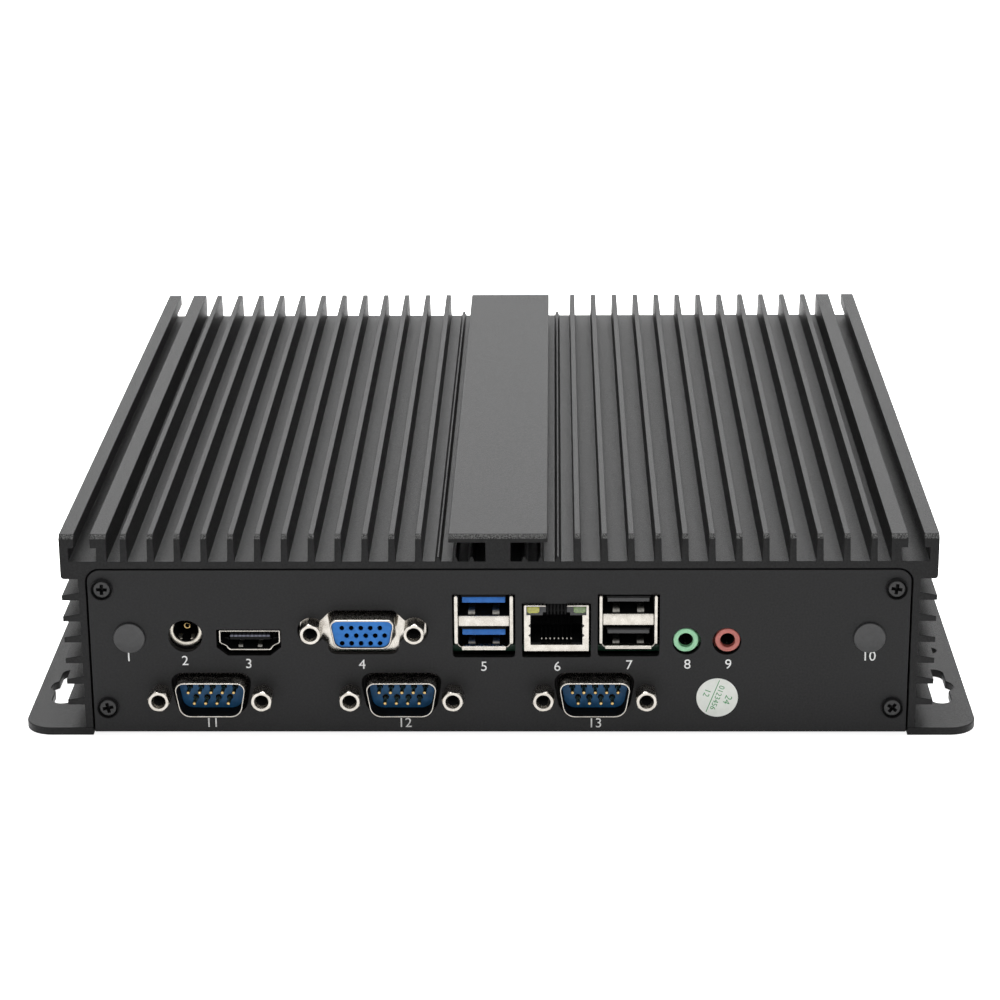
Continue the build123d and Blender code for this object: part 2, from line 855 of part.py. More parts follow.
# Power inlet: moulded body, a plated sleeve behind the panel hole and a gold pin
with BuildPart() as inlet_body:
    with BuildSketch(upright(inlet_body_front)):
        standing_box(inlet_centre, inlet_height + inlet_body_width / 2, inlet_body_width)
        with Locations(inlet_spot):
            RegularPolygon(
                inlet_sleeve_back,
                inlet_sleeve_sides,
                major_radius=False,
                rotation=180 / inlet_sleeve_sides,
                mode=Mode.SUBTRACT,
            )
    extrude(amount=-inlet_depth)
    with BuildSketch(upright(inlet_body_front + inlet_depth)):
        standing_box(inlet_centre, inlet_height + inlet_body_width / 2, inlet_body_width)
    extrude(amount=inlet_depth - inlet_body_depth)
save(inlet_body, "power_inlet_body")
with BuildPart() as inlet_sleeve:
    for behind, across, length in (
        (inlet_setback, inlet_sleeve_front, inlet_lip),
        (inlet_body_front, inlet_sleeve_back, inlet_depth),
    ):
        with BuildSketch(upright(behind)):
            with Locations(inlet_spot):
                RegularPolygon(
                    across,
                    inlet_sleeve_sides,
                    major_radius=False,
                    rotation=180 / inlet_sleeve_sides,
                )
                Circle(inlet_sleeve_bore, mode=Mode.SUBTRACT)
        extrude(amount=-length)
save(inlet_sleeve, "power_inlet_sleeve")
with BuildPart() as inlet_pin_part:
    with BuildSketch(upright(inlet_body_front + inlet_depth)):
        with Locations(inlet_spot):
            small_round(inlet_pin)
    extrude(amount=inlet_lip + inlet_depth - inlet_pin_setback)
save(inlet_pin_part, "power_inlet_pin")

# Two stacked pairs of bus ports, one shell each, with a tongue in every mouth
for name, centre in (("fast_bus", bus_fast_centre), ("plain_bus", bus_plain_centre)):
    with BuildPart() as shell:
        with BuildSketch(upright(-bus_proud)):
            standing_box(centre, bus_top, bus_lip_width)
        extrude(amount=-bus_lip)
        with BuildSketch(upright(bus_lip - bus_proud)):
            standing_box(centre, bus_top, bus_body_width)
        extrude(amount=-(bus_depth - bus_lip))
        with BuildSketch(upright(-bus_proud)):
            with Locations(*[(centre, height) for height in bus_mouths]):
                Rectangle(bus_mouth_width, bus_mouth_height)
        extrude(amount=-bus_mouth_depth, mode=Mode.SUBTRACT)
    save(shell, f"{name}_shell")
    tongue_top = bus_mouth_height / 2 - bus_tongue_drop
    with BuildPart() as tongues:
        with BuildSketch(upright(bus_mouth_depth - bus_proud)):
            with Locations(*[(centre, height + tongue_top) for height in bus_mouths]):
                Rectangle(bus_tongue_width, bus_tongue_thickness, align=(Align.CENTER, Align.MAX))
        extrude(amount=bus_mouth_depth - bus_tongue_setback)
    save(tongues, f"{name}_tongues")

# Network port: steel shield, moulded housing with a latch notch, eight contacts and two lights
with BuildPart() as net_shield:
    with BuildSketch(upright(-net_proud)):
        with Locations(net_middle):
            Rectangle(net_width, net_height)
    extrude(amount=-net_depth)
    with BuildSketch(upright(-net_proud)):
        with Locations(net_middle):
            Rectangle(*net_inside)
    extrude(amount=-(net_depth - net_wall), mode=Mode.SUBTRACT)
save(net_shield, "network_port_shield")
with BuildPart() as net_housing:
    with BuildSketch(upright(-net_proud)):
        with Locations(net_middle):
            Rectangle(*net_inside)
        with Locations(*net_light_spots):
            Rectangle(net_light_width, net_light_height, mode=Mode.SUBTRACT)
    extrude(amount=-(net_depth - net_wall))
    with BuildSketch(upright(-net_proud)):
        with Locations((net_centre, net_floor)):
            Rectangle(net_mouth_width, net_mouth_height, align=(Align.CENTER, Align.MIN))
        with Locations((net_centre, net_floor + net_mouth_height)):
            Rectangle(net_notch_width, net_notch_height, align=(Align.CENTER, Align.MIN))
    extrude(amount=-net_mouth_depth, mode=Mode.SUBTRACT)
save(net_housing, "network_port_housing")
with BuildPart() as net_lights:
    with BuildSketch(upright(-net_proud)):
        with Locations(*net_light_spots):
            Rectangle(net_light_width, net_light_height)
    extrude(amount=-(net_depth - net_wall))
save(net_lights, "network_port_lights")
with BuildPart() as net_contacts:
    for i in range(net_contact_count):
        offset_x = (i - (net_contact_count - 1) / 2) * net_contact_pitch
        with BuildSketch(Plane.YZ.offset(net_centre + offset_x)):
            with BuildLine():
                Polyline(
                    (net_contact_root, net_floor),
                    (net_contact_root - net_contact_length, net_floor),
                    (net_contact_root, net_floor + net_contact_rise),
                    close=True,
                )
            make_face()
        extrude(amount=net_contact_width / 2, both=True)
save(net_contacts, "network_port_contacts")

# Sound jacks, each with a round barrel through the panel
for name, centre in zip(("sound_out_jack", "microphone_jack"), sound_centres):
    with BuildPart() as jack:
        with BuildSketch(upright(sound_setback)):
            with Locations((centre, sound_height)):
                Circle(sound_barrel)
        extrude(amount=sound_setback - sound_body_front)
        with BuildSketch(upright(sound_body_front)):
            standing_box(centre, sound_height + sound_body_width / 2, sound_body_width)
        extrude(amount=-sound_body_depth)
        with BuildSketch(upright(sound_setback)):
            with Locations((centre, sound_height)):
                Circle(sound_bore)
        extrude(amount=-sound_bore_depth, mode=Mode.SUBTRACT)
    save(jack, name)

# Blanking plugs: a flat head in front of each antenna hole and a stem through it
for name, spot in zip(("antenna_plug_left", "antenna_plug_right"), plug_spots):
    with BuildPart() as plug:
        with BuildSketch(upright()):
            with Locations(spot):
                large_round(plug_head)
        extrude(amount=plug_head_height)
        with BuildSketch(upright()):
            with Locations(spot):
                small_round(plug_stem)
        extrude(amount=-plug_stem_length)
    save(plug, name)

# Main board on four hexagonal standoffs, each with its screw
with BuildPart() as main_board:
    with BuildSketch(Plane.XY.offset(board_bottom)):
        with Locations((board_shift, board_front)):
            Rectangle(board_width, board_depth, align=(Align.CENTER, Align.MIN))
        with Locations(*board_holes):
            thread(board_screw_thread + screw_clearance, Mode.SUBTRACT)
    extrude(amount=board_thickness)
save(main_board, "main_board")
with BuildPart() as standoffs:
    with BuildSketch(Plane.XY.offset(plate_thickness)):
        with Locations(*board_holes):
            RegularPolygon(standoff_flats / 2, 6, major_radius=False)
    extrude(amount=board_bottom - plate_thickness)
    with BuildSketch(Plane.XY.offset(board_bottom)):
        with Locations(*board_holes):
            thread(board_screw_thread)
    extrude(amount=-board_screw_hole, mode=Mode.SUBTRACT)
save(standoffs, "board_standoffs")
with BuildPart() as board_screws:
    with BuildSketch(Plane.XY.offset(board_top)):
        with Locations(*board_holes):
            small_round(board_screw_head)
    extrude(amount=board_screw_head_height)
    with BuildSketch(Plane.XY.offset(board_top)):
        with Locations(*board_holes):
            thread(board_screw_thread)
    extrude(amount=-board_screw_length)
save(board_screws, "board_screws")

# Processor with the aluminium block and pad that carry its heat to the roof
with BuildPart() as processor:
    with BuildSketch(Plane.XY.offset(board_top)):
        with Locations(processor_spot):
            Rectangle(processor_size, processor_size)
    extrude(amount=processor_height)
save(processor, "processor")
with BuildPart() as heat_block:
    with BuildSketch(Plane.XY.offset(processor_top)):
        with Locations(processor_spot):
            Rectangle(block_size, block_size)
    extrude(amount=pad_bottom - processor_top)
    chamfer(heat_block.edges().filter_by(Axis.Z), block_chamfer)
save(heat_block, "heat_block")
with BuildPart() as thermal_pad:
    with BuildSketch(Plane.XY.offset(pad_bottom)):
        with Locations(processor_spot):
            Rectangle(block_size - 2 * block_chamfer, block_size - 2 * block_chamfer)
    extrude(amount=pad_thickness)
save(thermal_pad, "thermal_pad")

# Memory module and solid-state drive, each in its edge socket
memory_socket = edge_socket(memory_spot, memory_socket_width, memory_socket_depth, memory_socket_height)
save(memory_socket, "memory_socket")
save(plug_in_module(memory_spot, memory_width, memory_depth, memory_chips, memory_chip), "memory_module")
drive_socket = edge_socket(drive_spot, drive_socket_width, drive_socket_depth, drive_socket_height)
save(drive_socket, "drive_socket")
save(plug_in_module(drive_spot, drive_width, drive_depth, drive_chips, drive_chip), "solid_state_drive")

# Coin cell in its holder
with BuildPart() as cell_holder:
    with BuildSketch(Plane.XY.offset(board_top)):
        with Locations(cell_spot):
            small_round(cell_radius + holder_wall)
    extrude(amount=holder_base + cell_height)
    with BuildSketch(Plane.XY.offset(board_top + holder_base)):
        with Locations(cell_spot):
            small_round(cell_radius)
    extrude(amount=cell_height, mode=Mode.SUBTRACT)
save(cell_holder, "coin_cell_holder")
with BuildPart() as coin_cell:
    with BuildSketch(Plane.XY.offset(board_top + holder_base)):
        with Locations(cell_spot):
            small_round(cell_radius)
    extrude(amount=cell_height)
save(coin_cell, "coin_cell")

# Serial board on four spacers, joined to the main board by a stacking header
with BuildPart() as serial_board:
    with BuildSketch(Plane.XY.offset(serial_board_bottom)):
        with Locations((serial_board_centre, serial_board_front)):
            Rectangle(serial_board_width, serial_board_depth, align=(Align.CENTER, Align.MIN))
    extrude(amount=board_thickness)
save(serial_board, "serial_board")
with BuildPart() as serial_spacers:
    with BuildSketch(Plane.XY.offset(plate_thickness)):
        with Locations((serial_board_centre, serial_board_front + serial_board_depth / 2)):
            with GridLocations(
                serial_board_width - 4 * serial_spacer,
                serial_board_depth - 4 * serial_spacer,
                2,
                2,
            ):
                RegularPolygon(serial_spacer, 6)
    extrude(amount=serial_board_bottom - plate_thickness)
save(serial_spacers, "serial_board_spacers")
with BuildPart() as stacking_header:
    with BuildSketch(Plane.XY.offset(serial_board_top)):
        with Locations(header_middle):
            Rectangle(header_width, header_thick)
    extrude(amount=header_thick_height)
    with BuildSketch(Plane.XY.offset(serial_board_top + header_thick_height)):
        with Locations(header_middle):
            Rectangle(header_width, header_thin)
    extrude(amount=board_bottom - serial_board_top - header_thick_height)
save(stacking_header, "stacking_header")

# Push button on the rear panel: threaded body, nut and a cap that slides inwards
with BuildPart() as button_body:
    with BuildSketch(upright(case_depth)):
        with Locations(button_spot):
            large_round(button_ring)
    extrude(amount=-button_ring_height)
    with BuildSketch(upright(case_depth)):
        with Locations(button_spot):
            small_round(button_barrel)
    extrude(amount=button_barrel_length)
    with BuildSketch(upright(button_front)):
        with Locations(button_spot):
            large_round(button_radius + button_clearance)
    extrude(amount=button_bore_depth, mode=Mode.SUBTRACT)
save(button_body, "power_button_body")
with BuildPart() as button_nut:
    with BuildSketch(upright(case_depth - panel_thickness)):
        with Locations(button_spot):
            RegularPolygon(button_nut_flats / 2, 6, major_radius=False)
            small_round(button_barrel, Mode.SUBTRACT)
    extrude(amount=button_nut_height)
save(button_nut, "power_button_nut")
with BuildPart() as button_cap:
    with BuildSketch(upright(button_front + button_proud)):
        with Locations(button_spot):
            large_round(button_radius)
    extrude(amount=button_length)
save(button_cap, "power_button_cap")

# Status light beside the button
with BuildPart() as status_light:
    with BuildSketch(upright(case_depth)):
        with Locations(light_spot):
            small_round(light_rim)
    extrude(amount=-light_rim_height)
    with BuildSketch(upright(case_depth)):
        with Locations(light_spot):
            small_round(light_radius)
    extrude(amount=light_length)
save(status_light, "status_light")
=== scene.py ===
from math import cos, pi, radians, sin
import bmesh
import bpy
from mathutils import Matrix, Vector


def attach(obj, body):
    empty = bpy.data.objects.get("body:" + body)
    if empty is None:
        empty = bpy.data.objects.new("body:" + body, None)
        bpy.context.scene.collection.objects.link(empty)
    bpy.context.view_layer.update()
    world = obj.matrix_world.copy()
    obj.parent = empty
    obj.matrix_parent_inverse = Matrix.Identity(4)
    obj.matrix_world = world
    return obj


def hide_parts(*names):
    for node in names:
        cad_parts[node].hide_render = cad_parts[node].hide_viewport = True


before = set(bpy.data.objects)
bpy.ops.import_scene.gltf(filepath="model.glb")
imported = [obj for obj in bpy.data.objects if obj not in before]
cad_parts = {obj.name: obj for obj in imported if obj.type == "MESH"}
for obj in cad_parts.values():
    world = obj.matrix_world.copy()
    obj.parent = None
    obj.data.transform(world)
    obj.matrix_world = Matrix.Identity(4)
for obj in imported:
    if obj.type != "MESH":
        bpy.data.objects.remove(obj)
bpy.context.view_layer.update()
mm = 0.001
front = -0.109  # front face of the case
back = 0.109
print("frame loaded")

# camera, fitted to the photograph
cameraSettings = {
    "place": (0.013772, -0.767219, 0.291701),
    "yaw": -0.020,
    "pitch": 0.337,
    "roll": -0.008,
    "lens": 105.475,
    "sensor": 36.0,
}


def addCamera(settings):
    data = bpy.data.cameras.new("photoCamera")
    data.lens = settings["lens"]
    data.sensor_width = settings["sensor"]
    data.clip_start = 0.01
    data.clip_end = 50
    camera = bpy.data.objects.new("photoCamera", data)
    bpy.context.scene.collection.objects.link(camera)
    yaw, pitch, roll = settings["yaw"], settings["pitch"], settings["roll"]
    forward = Vector((sin(yaw) * cos(pitch), cos(yaw) * cos(pitch), -sin(pitch)))
    right = Vector((cos(yaw), -sin(yaw), 0))
    up = right.cross(forward)
    turnedRight = right * cos(roll) + up * sin(roll)
    turnedUp = up * cos(roll) - right * sin(roll)
    axes = Matrix((turnedRight, turnedUp, -forward)).transposed().to_4x4()
    camera.matrix_world = Matrix.Translation(settings["place"]) @ axes
    bpy.context.scene.camera = camera


addCamera(cameraSettings)

# floor, backdrop and lamps
studio = {
    "floorSize": 12.0,
    "floorTone": 0.86,
    "floorGlow": 0.84,  # seen by the camera and by reflections only
    "skyLight": 0.07,
    "lamps": {
        # name: place, size, power, aimed at
        "overhead": ((0.0, 0.30, 1.25), (1.1, 1.0), 33.0, (0, 0, 0)),
        "behind": ((0.0, 1.5, 0.8), (1.4, 0.5), 8.0, (0, 0, 0)),
        "frontLeft": ((-0.4, -1.5, 0.7), (0.5, 0.5), 3.0, (0, -0.05, 0)),
        "frontRight": ((0.5, -1.5, 0.75), (0.5, 0.5), 3.2, (0, -0.05, 0)),
    },
}


def seenDirectly(nodes, links):
    # 1 where the camera, a reflection or glass looks, 0 for scattered light
    path = nodes.new("ShaderNodeLightPath")
    either = nodes.new("ShaderNodeMath")
    either.operation = "MAXIMUM"
    links.new(path.outputs["Is Camera Ray"], either.inputs[0])
    links.new(path.outputs["Is Glossy Ray"], either.inputs[1])
    any3 = nodes.new("ShaderNodeMath")
    any3.operation = "MAXIMUM"
    links.new(either.outputs[0], any3.inputs[0])
    links.new(path.outputs["Is Transmission Ray"], any3.inputs[1])
    return any3.outputs[0]


def addStudio(settings):
    world = bpy.data.worlds.new("studioWorld")
    bpy.context.scene.world = world
    world.use_nodes = True
    nodes, links = world.node_tree.nodes, world.node_tree.links
    nodes.clear()
    output = nodes.new("ShaderNodeOutputWorld")
    mix = nodes.new("ShaderNodeMixShader")
    lighting = nodes.new("ShaderNodeBackground")
    lighting.inputs["Strength"].default_value = settings["skyLight"]
    shown = nodes.new("ShaderNodeBackground")
    for background in (lighting, shown):
        background.inputs["Color"].default_value = (1, 1, 1, 1)
    links.new(seenDirectly(nodes, links), mix.inputs[0])
    links.new(lighting.outputs[0], mix.inputs[1])
    links.new(shown.outputs[0], mix.inputs[2])
    links.new(mix.outputs[0], output.inputs["Surface"])

    bpy.ops.mesh.primitive_plane_add(size=settings["floorSize"])
    floor = bpy.context.object
    floor.name = "studio_floor"
    material = bpy.data.materials.new("studioFloor")
    material.use_nodes = True
    nodes, links = material.node_tree.nodes, material.node_tree.links
    nodes.clear()
    output = nodes.new("ShaderNodeOutputMaterial")
    addShader = nodes.new("ShaderNodeAddShader")
    diffuse = nodes.new("ShaderNodeBsdfDiffuse")
    tone = settings["floorTone"]
    diffuse.inputs["Color"].default_value = (tone, tone, tone, 1)
    glow = nodes.new("ShaderNodeEmission")
    strength = nodes.new("ShaderNodeMath")
    strength.operation = "MULTIPLY"
    strength.inputs[1].default_value = settings["floorGlow"]
    links.new(seenDirectly(nodes, links), strength.inputs[0])
    links.new(strength.outputs[0], glow.inputs["Strength"])
    links.new(diffuse.outputs[0], addShader.inputs[0])
    links.new(glow.outputs[0], addShader.inputs[1])
    links.new(addShader.outputs[0], output.inputs["Surface"])
    floor.data.materials.append(material)

    for name, (place, size, power, aim) in settings["lamps"].items():
        data = bpy.data.lights.new(name, "AREA")
        data.shape = "RECTANGLE"
        data.size, data.size_y = size
        data.energy = power
        lamp = bpy.data.objects.new(name, data)
        bpy.context.scene.collection.objects.link(lamp)
        direction = Vector(aim) - Vector(place)
        lamp.rotation_euler = direction.to_track_quat("-Z", "Y").to_euler()
        lamp.location = place
    bpy.context.scene.view_settings.view_transform = "Standard"


addStudio(studio)
print("studio ready")

# finishes: two colours that mix in a fine pattern, range of roughness, sizes in mm of pattern and grain
finishColumns = ("dark", "light", "roughness", "patternSize", "grainSize", "grainHeight")
finishTable = {
    "blastedAluminium": ((0.0015, 0.0015, 0.0016), (0.0085, 0.0085, 0.0088), (0.40, 0.56), 0.4, 0.26, 0.075),
    "powderCoat": ((0.0072, 0.0072, 0.0075), (0.0122, 0.0122, 0.0128), (0.46, 0.60), 0.5, 0.2, 0.014),
    "blackZinc": ((0.008, 0.008, 0.009), (0.016, 0.0155, 0.0155), (0.26, 0.40), 0.5, 0.12, 0.006),
    "nickel": ((0.345, 0.323, 0.29), (0.435, 0.413, 0.378), (0.18, 0.32), 1.6, 0.25, 0.004),
    "goldPlate": ((0.33, 0.22, 0.085), (0.47, 0.34, 0.15), (0.18, 0.32), 0.6, 0.10, 0.003),
    "turnedBrass": ((0.52, 0.36, 0.14), (0.70, 0.52, 0.25), (0.25, 0.4), 0.8, 0.12, 0.004),
    "milledAluminium": ((0.58, 0.58, 0.59), (0.74, 0.74, 0.75), (0.3, 0.45), 1.2, 0.2, 0.006),
    "boardMask": ((0.004, 0.03, 0.015), (0.009, 0.055, 0.028), (0.28, 0.42), 2.2, 0.3, 0.006),
    "chipPackage": ((0.018, 0.018, 0.020), (0.034, 0.034, 0.037), (0.4, 0.55), 0.8, 0.15, 0.006),
    "siliconePad": ((0.28, 0.33, 0.40), (0.36, 0.42, 0.49), (0.6, 0.75), 1.2, 0.3, 0.01),
    "blackMoulding": ((0.008, 0.008, 0.009), (0.016, 0.016, 0.017), (0.36, 0.52), 1.0, 0.15, 0.006),
    "brightBlueMoulding": ((0.015, 0.155, 0.5), (0.024, 0.19, 0.58), (0.38, 0.5), 1.6, 0.2, 0.005),
    "busBlueMoulding": ((0.008, 0.105, 0.38), (0.013, 0.135, 0.46), (0.34, 0.46), 1.4, 0.2, 0.005),
    "deepBlueMoulding": ((0.006, 0.074, 0.185), (0.01, 0.1, 0.25), (0.34, 0.48), 1.2, 0.2, 0.005),
    "mintMoulding": ((0.26, 0.58, 0.34), (0.34, 0.68, 0.41), (0.28, 0.4), 1.2, 0.2, 0.004),
    "coralMoulding": ((0.42, 0.11, 0.09), (0.5, 0.14, 0.115), (0.28, 0.4), 1.2, 0.2, 0.004),
    "plugPlastic": ((0.011, 0.011, 0.0115), (0.018, 0.018, 0.019), (0.38, 0.52), 1.1, 0.2, 0.010),
    # near black, darker than the black mouldings: painted shade for parts, linings and blocks deep in the ports and
    # holes
    "paintedShadeBlack": ((0.0015, 0.0015, 0.0016), (0.004, 0.004, 0.0042), (0.55, 0.7), 0.8, 0.15, 0.006),
    "satinNickel": ((0.42, 0.39, 0.34), (0.54, 0.51, 0.45), (0.36, 0.50), 1.2, 0.2, 0.006),
    "charcoalMoulding": ((0.01, 0.01, 0.0105), (0.016, 0.016, 0.017), (0.42, 0.58), 0.8, 0.15, 0.006),
    # tin much darker than bright tin, with a blue tint
    "dimBlueTin": ((0.09, 0.092, 0.115), (0.13, 0.133, 0.165), (0.35, 0.5), 0.6, 0.1, 0.003),
    # darker copy of nickel: painted shade on the rim under the panel's edge, and on the springs and contact leaves
    # inside the ports
    "paintedShadeNickel": ((0.10, 0.096, 0.088), (0.18, 0.173, 0.16), (0.3, 0.45), 0.6, 0.1, 0.003),
    "brushedCap": ((0.46, 0.46, 0.47), (0.62, 0.62, 0.63), (0.24, 0.38), 0.7, 0.15, 0.004),
    "amberLens": ((0.26, 0.26, 0.006), (0.42, 0.4, 0.02), (0.12, 0.22), 0.7, 0.15, 0.003),
    "greenLens": ((0.07, 0.13, 0.03), (0.15, 0.24, 0.06), (0.12, 0.22), 0.7, 0.15, 0.003),
    "whitePrint": ((0.8, 0.8, 0.79), (0.88, 0.88, 0.87), (0.5, 0.62), 0.6, 0.12, 0.004),
    "stickerPaper": ((0.83, 0.86, 0.8), (0.89, 0.91, 0.86), (0.34, 0.46), 1.4, 0.2, 0.004),
    "greenPrint": ((0.05, 0.26, 0.08), (0.08, 0.34, 0.12), (0.4, 0.55), 0.6, 0.12, 0.003),
    "greyMoulding": ((0.05, 0.05, 0.05), (0.08, 0.08, 0.08), (0.4, 0.5), 1.0, 0.2, 0.004),
}
finishExtras = {
    "blastedAluminium": {"specular": 0.17, "endSpeckHighlight": (0.12, 0.12, 0.118)},
    "powderCoat": {"specular": 0.2},
    "blackZinc": {"specular": 0.35},
    "nickel": {"metallic": 1.0},
    "goldPlate": {"metallic": 1.0},
    "turnedBrass": {"metallic": 1.0},
    "milledAluminium": {"metallic": 1.0},
    "brightBlueMoulding": {"specular": 0.3},
    "busBlueMoulding": {"specular": 0.3},
    "deepBlueMoulding": {"specular": 0.3},
    "paintedShadeBlack": {"specular": 0.12},
    "satinNickel": {"metallic": 1.0},
    "dimBlueTin": {"metallic": 1.0},
    "paintedShadeNickel": {"metallic": 1.0},
    "brushedCap": {"metallic": 1.0},
    "amberLens": {"coat": 0.6},
    "greenLens": {"coat": 0.6},
}


def newNode(tree, kind, **settings):
    node = tree.nodes.new(kind)
    for name, value in settings.items():
        setattr(node, name, value)
    return node


# light specks on the cut ends: rough end marks, and painted highlights on the faces that look up
endSpecks = {
    "start": 0.10815,  # distance from the middle where the cut ends begin, in metres
    "upward": 0.2,  # only on faces that look up at least this much
    "above": 0.0485,  # and above this height, in metres
    "size": 0.24,
    "share": (0.42, 0.62),
}


def noiseNode(tree, place, size, detail):
    noise = newNode(tree, "ShaderNodeTexNoise")
    noise.inputs["Scale"].default_value = 1 / (size * mm)
    noise.inputs["Detail"].default_value = detail
    tree.links.new(place, noise.inputs["Vector"])
    return noise.outputs["Fac"]


def mathNode(tree, operation, first, second):
    node = newNode(tree, "ShaderNodeMath")
    node.operation = operation
    for socket, value in zip(node.inputs, (first, second)):
        if isinstance(value, float):
            socket.default_value = value
        else:
            tree.links.new(value, socket)
    return node.outputs[0]


def addEndSpecks(tree, place, colour, bright):
    # light specks on the sawn and blasted ends of the profile, on upward faces only: rough end marks, with painted
    # highlights where the top light catches them
    links = tree.links
    split = newNode(tree, "ShaderNodeSeparateXYZ")
    links.new(place, split.inputs[0])
    facing = newNode(tree, "ShaderNodeSeparateXYZ")
    links.new(newNode(tree, "ShaderNodeTexCoord").outputs["Normal"], facing.inputs[0])
    distance = mathNode(tree, "ABSOLUTE", split.outputs["Y"], 0.0)
    atEnd = mathNode(tree, "GREATER_THAN", distance, endSpecks["start"])
    upward = mathNode(tree, "GREATER_THAN", facing.outputs["Z"], endSpecks["upward"])
    high = mathNode(tree, "GREATER_THAN", split.outputs["Z"], endSpecks["above"])
    speck = newNode(tree, "ShaderNodeMapRange")
    speck.inputs["From Min"].default_value, speck.inputs["From Max"].default_value = endSpecks["share"]
    links.new(noiseNode(tree, place, endSpecks["size"], 3.0), speck.inputs["Value"])
    share = speck.outputs["Result"]
    for condition in (atEnd, upward, high):
        share = mathNode(tree, "MULTIPLY", share, condition)
    mix = newNode(tree, "ShaderNodeMix")
    mix.data_type = "RGBA"
    links.new(share, mix.inputs["Factor"])
    links.new(colour, mix.inputs["A"])
    mix.inputs["B"].default_value = (*bright, 1)
    return mix.outputs["Result"]


def makeFinish(name, look):
    material = bpy.data.materials.new(name)
    material.use_nodes = True
    tree = material.node_tree
    links = tree.links
    shader = tree.nodes["Principled BSDF"]
    shader.inputs["Metallic"].default_value = look.get("metallic", 0.0)
    shader.inputs["Specular IOR Level"].default_value = look.get("specular", 0.5)
    if "coat" in look:
        shader.inputs["Coat Weight"].default_value = look["coat"]
    place = newNode(tree, "ShaderNodeTexCoord").outputs["Object"]

    pattern = noiseNode(tree, place, look["patternSize"], 4.0)
    colours = newNode(tree, "ShaderNodeValToRGB")
    colours.color_ramp.elements[0].position = 0.32
    colours.color_ramp.elements[0].color = (*look["dark"], 1)
    colours.color_ramp.elements[1].position = 0.68
    colours.color_ramp.elements[1].color = (*look["light"], 1)
    links.new(pattern, colours.inputs["Fac"])
    colour = colours.outputs["Color"]
    if "endSpeckHighlight" in look:
        colour = addEndSpecks(tree, place, colour, look["endSpeckHighlight"])

    grain = noiseNode(tree, place, look["grainSize"], 3.0)
    gloss = newNode(tree, "ShaderNodeMapRange")
    gloss.inputs["From Min"].default_value = 0.3
    gloss.inputs["From Max"].default_value = 0.7
    gloss.inputs["To Min"].default_value = look["roughness"][0]
    gloss.inputs["To Max"].default_value = look["roughness"][1]
    links.new(grain, gloss.inputs["Value"])
    links.new(gloss.outputs["Result"], shader.inputs["Roughness"])
    bump = newNode(tree, "ShaderNodeBump")
    bump.inputs["Distance"].default_value = look["grainHeight"] * mm
    links.new(grain, bump.inputs["Height"])
    links.new(bump.outputs["Normal"], shader.inputs["Normal"])
    links.new(colour, shader.inputs["Base Color"])
    return material


finishes = {}
for name, row in finishTable.items():
    finishes[name] = makeFinish(name, dict(zip(finishColumns, row)) | finishExtras.get(name, {}))

# which finish each CAD node has
nodeFinishes = {
    "blastedAluminium": ["top_case", "base_plate"],
    "powderCoat": ["front_panel", "rear_panel"],
    "blackZinc": ["front_panel_screws", "rear_panel_screws", "base_screws", "power_button_nut"],
    "nickel": [
        *(f"serial_{number}_shell" for number in (1, 2, 3)),
        *(f"serial_{number}_jackscrews" for number in (1, 2, 3)),
        "video_shell",
        "video_jackscrews",
        "digital_port_shell",
        "power_inlet_sleeve",
        "fast_bus_shell",
        "plain_bus_shell",
        "network_port_shield",
        "power_button_body",
        "power_button_cap",
        "board_screws",
        "coin_cell",
    ],
    "goldPlate": ["serial_1_pins", "serial_2_pins", "serial_3_pins", "power_inlet_pin", "network_port_contacts"],
    "turnedBrass": ["board_standoffs", "serial_board_spacers"],
    "milledAluminium": ["heat_block"],
    "boardMask": ["main_board", "serial_board", "memory_module", "solid_state_drive"],
    "chipPackage": ["processor"],
    "siliconePad": ["thermal_pad"],
    "blackMoulding": [
        "digital_port_tongue",
        "power_inlet_body",
        "plain_bus_tongues",
        "network_port_housing",
        "memory_socket",
        "drive_socket",
        "coin_cell_holder",
        "stacking_header",
        "antenna_plug_left",
        "antenna_plug_right",
        "status_light",
    ],
    "brightBlueMoulding": ["video_insulator"],
    "busBlueMoulding": ["fast_bus_tongues"],
    "deepBlueMoulding": ["serial_1_insulator", "serial_2_insulator", "serial_3_insulator"],
    "mintMoulding": ["sound_out_jack"],
    "coralMoulding": ["microphone_jack"],
    "greyMoulding": ["network_port_lights"],
}
for finish, names in nodeFinishes.items():
    for name in names:
        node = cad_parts[name]
        node.data.materials.clear()
        node.data.materials.append(finishes[finish])
print("CAD nodes finished")


# modelling helpers; spots are (x, z) and y is measured from the case front, all in millimetres
tiny = 1e-6


def deselectAll():
    bpy.ops.object.select_all(action="DESELECT")


def editNew(name):
    # names the new primitive, fixes its place in its mesh and opens it for editing
    piece = bpy.context.object
    piece.name = name
    piece.data.name = name
    bpy.ops.object.transform_apply(location=True, rotation=True, scale=True)
    bpy.ops.object.mode_set(mode="EDIT")
    bpy.ops.mesh.select_mode(type="FACE")
    bpy.ops.mesh.select_all(action="SELECT")
    return piece


def startDisc(name, spot, y, radius, sides=32, turn=0.0):
    deselectAll()
    bpy.ops.mesh.primitive_circle_add(
        vertices=sides,
        radius=radius * mm,
        fill_type="NGON",
        location=(spot[0] * mm, front + y * mm, spot[1] * mm),
        rotation=(pi / 2, turn, 0),
    )
    return editNew(name)


def startPlate(name, spot, size, y):
    deselectAll()
    bpy.ops.mesh.primitive_plane_add(
        size=1, location=(spot[0] * mm, front + y * mm, spot[1] * mm), rotation=(pi / 2, 0, 0)
    )
    bpy.context.object.scale = (size[0] * mm, size[1] * mm, 1)
    return editNew(name)


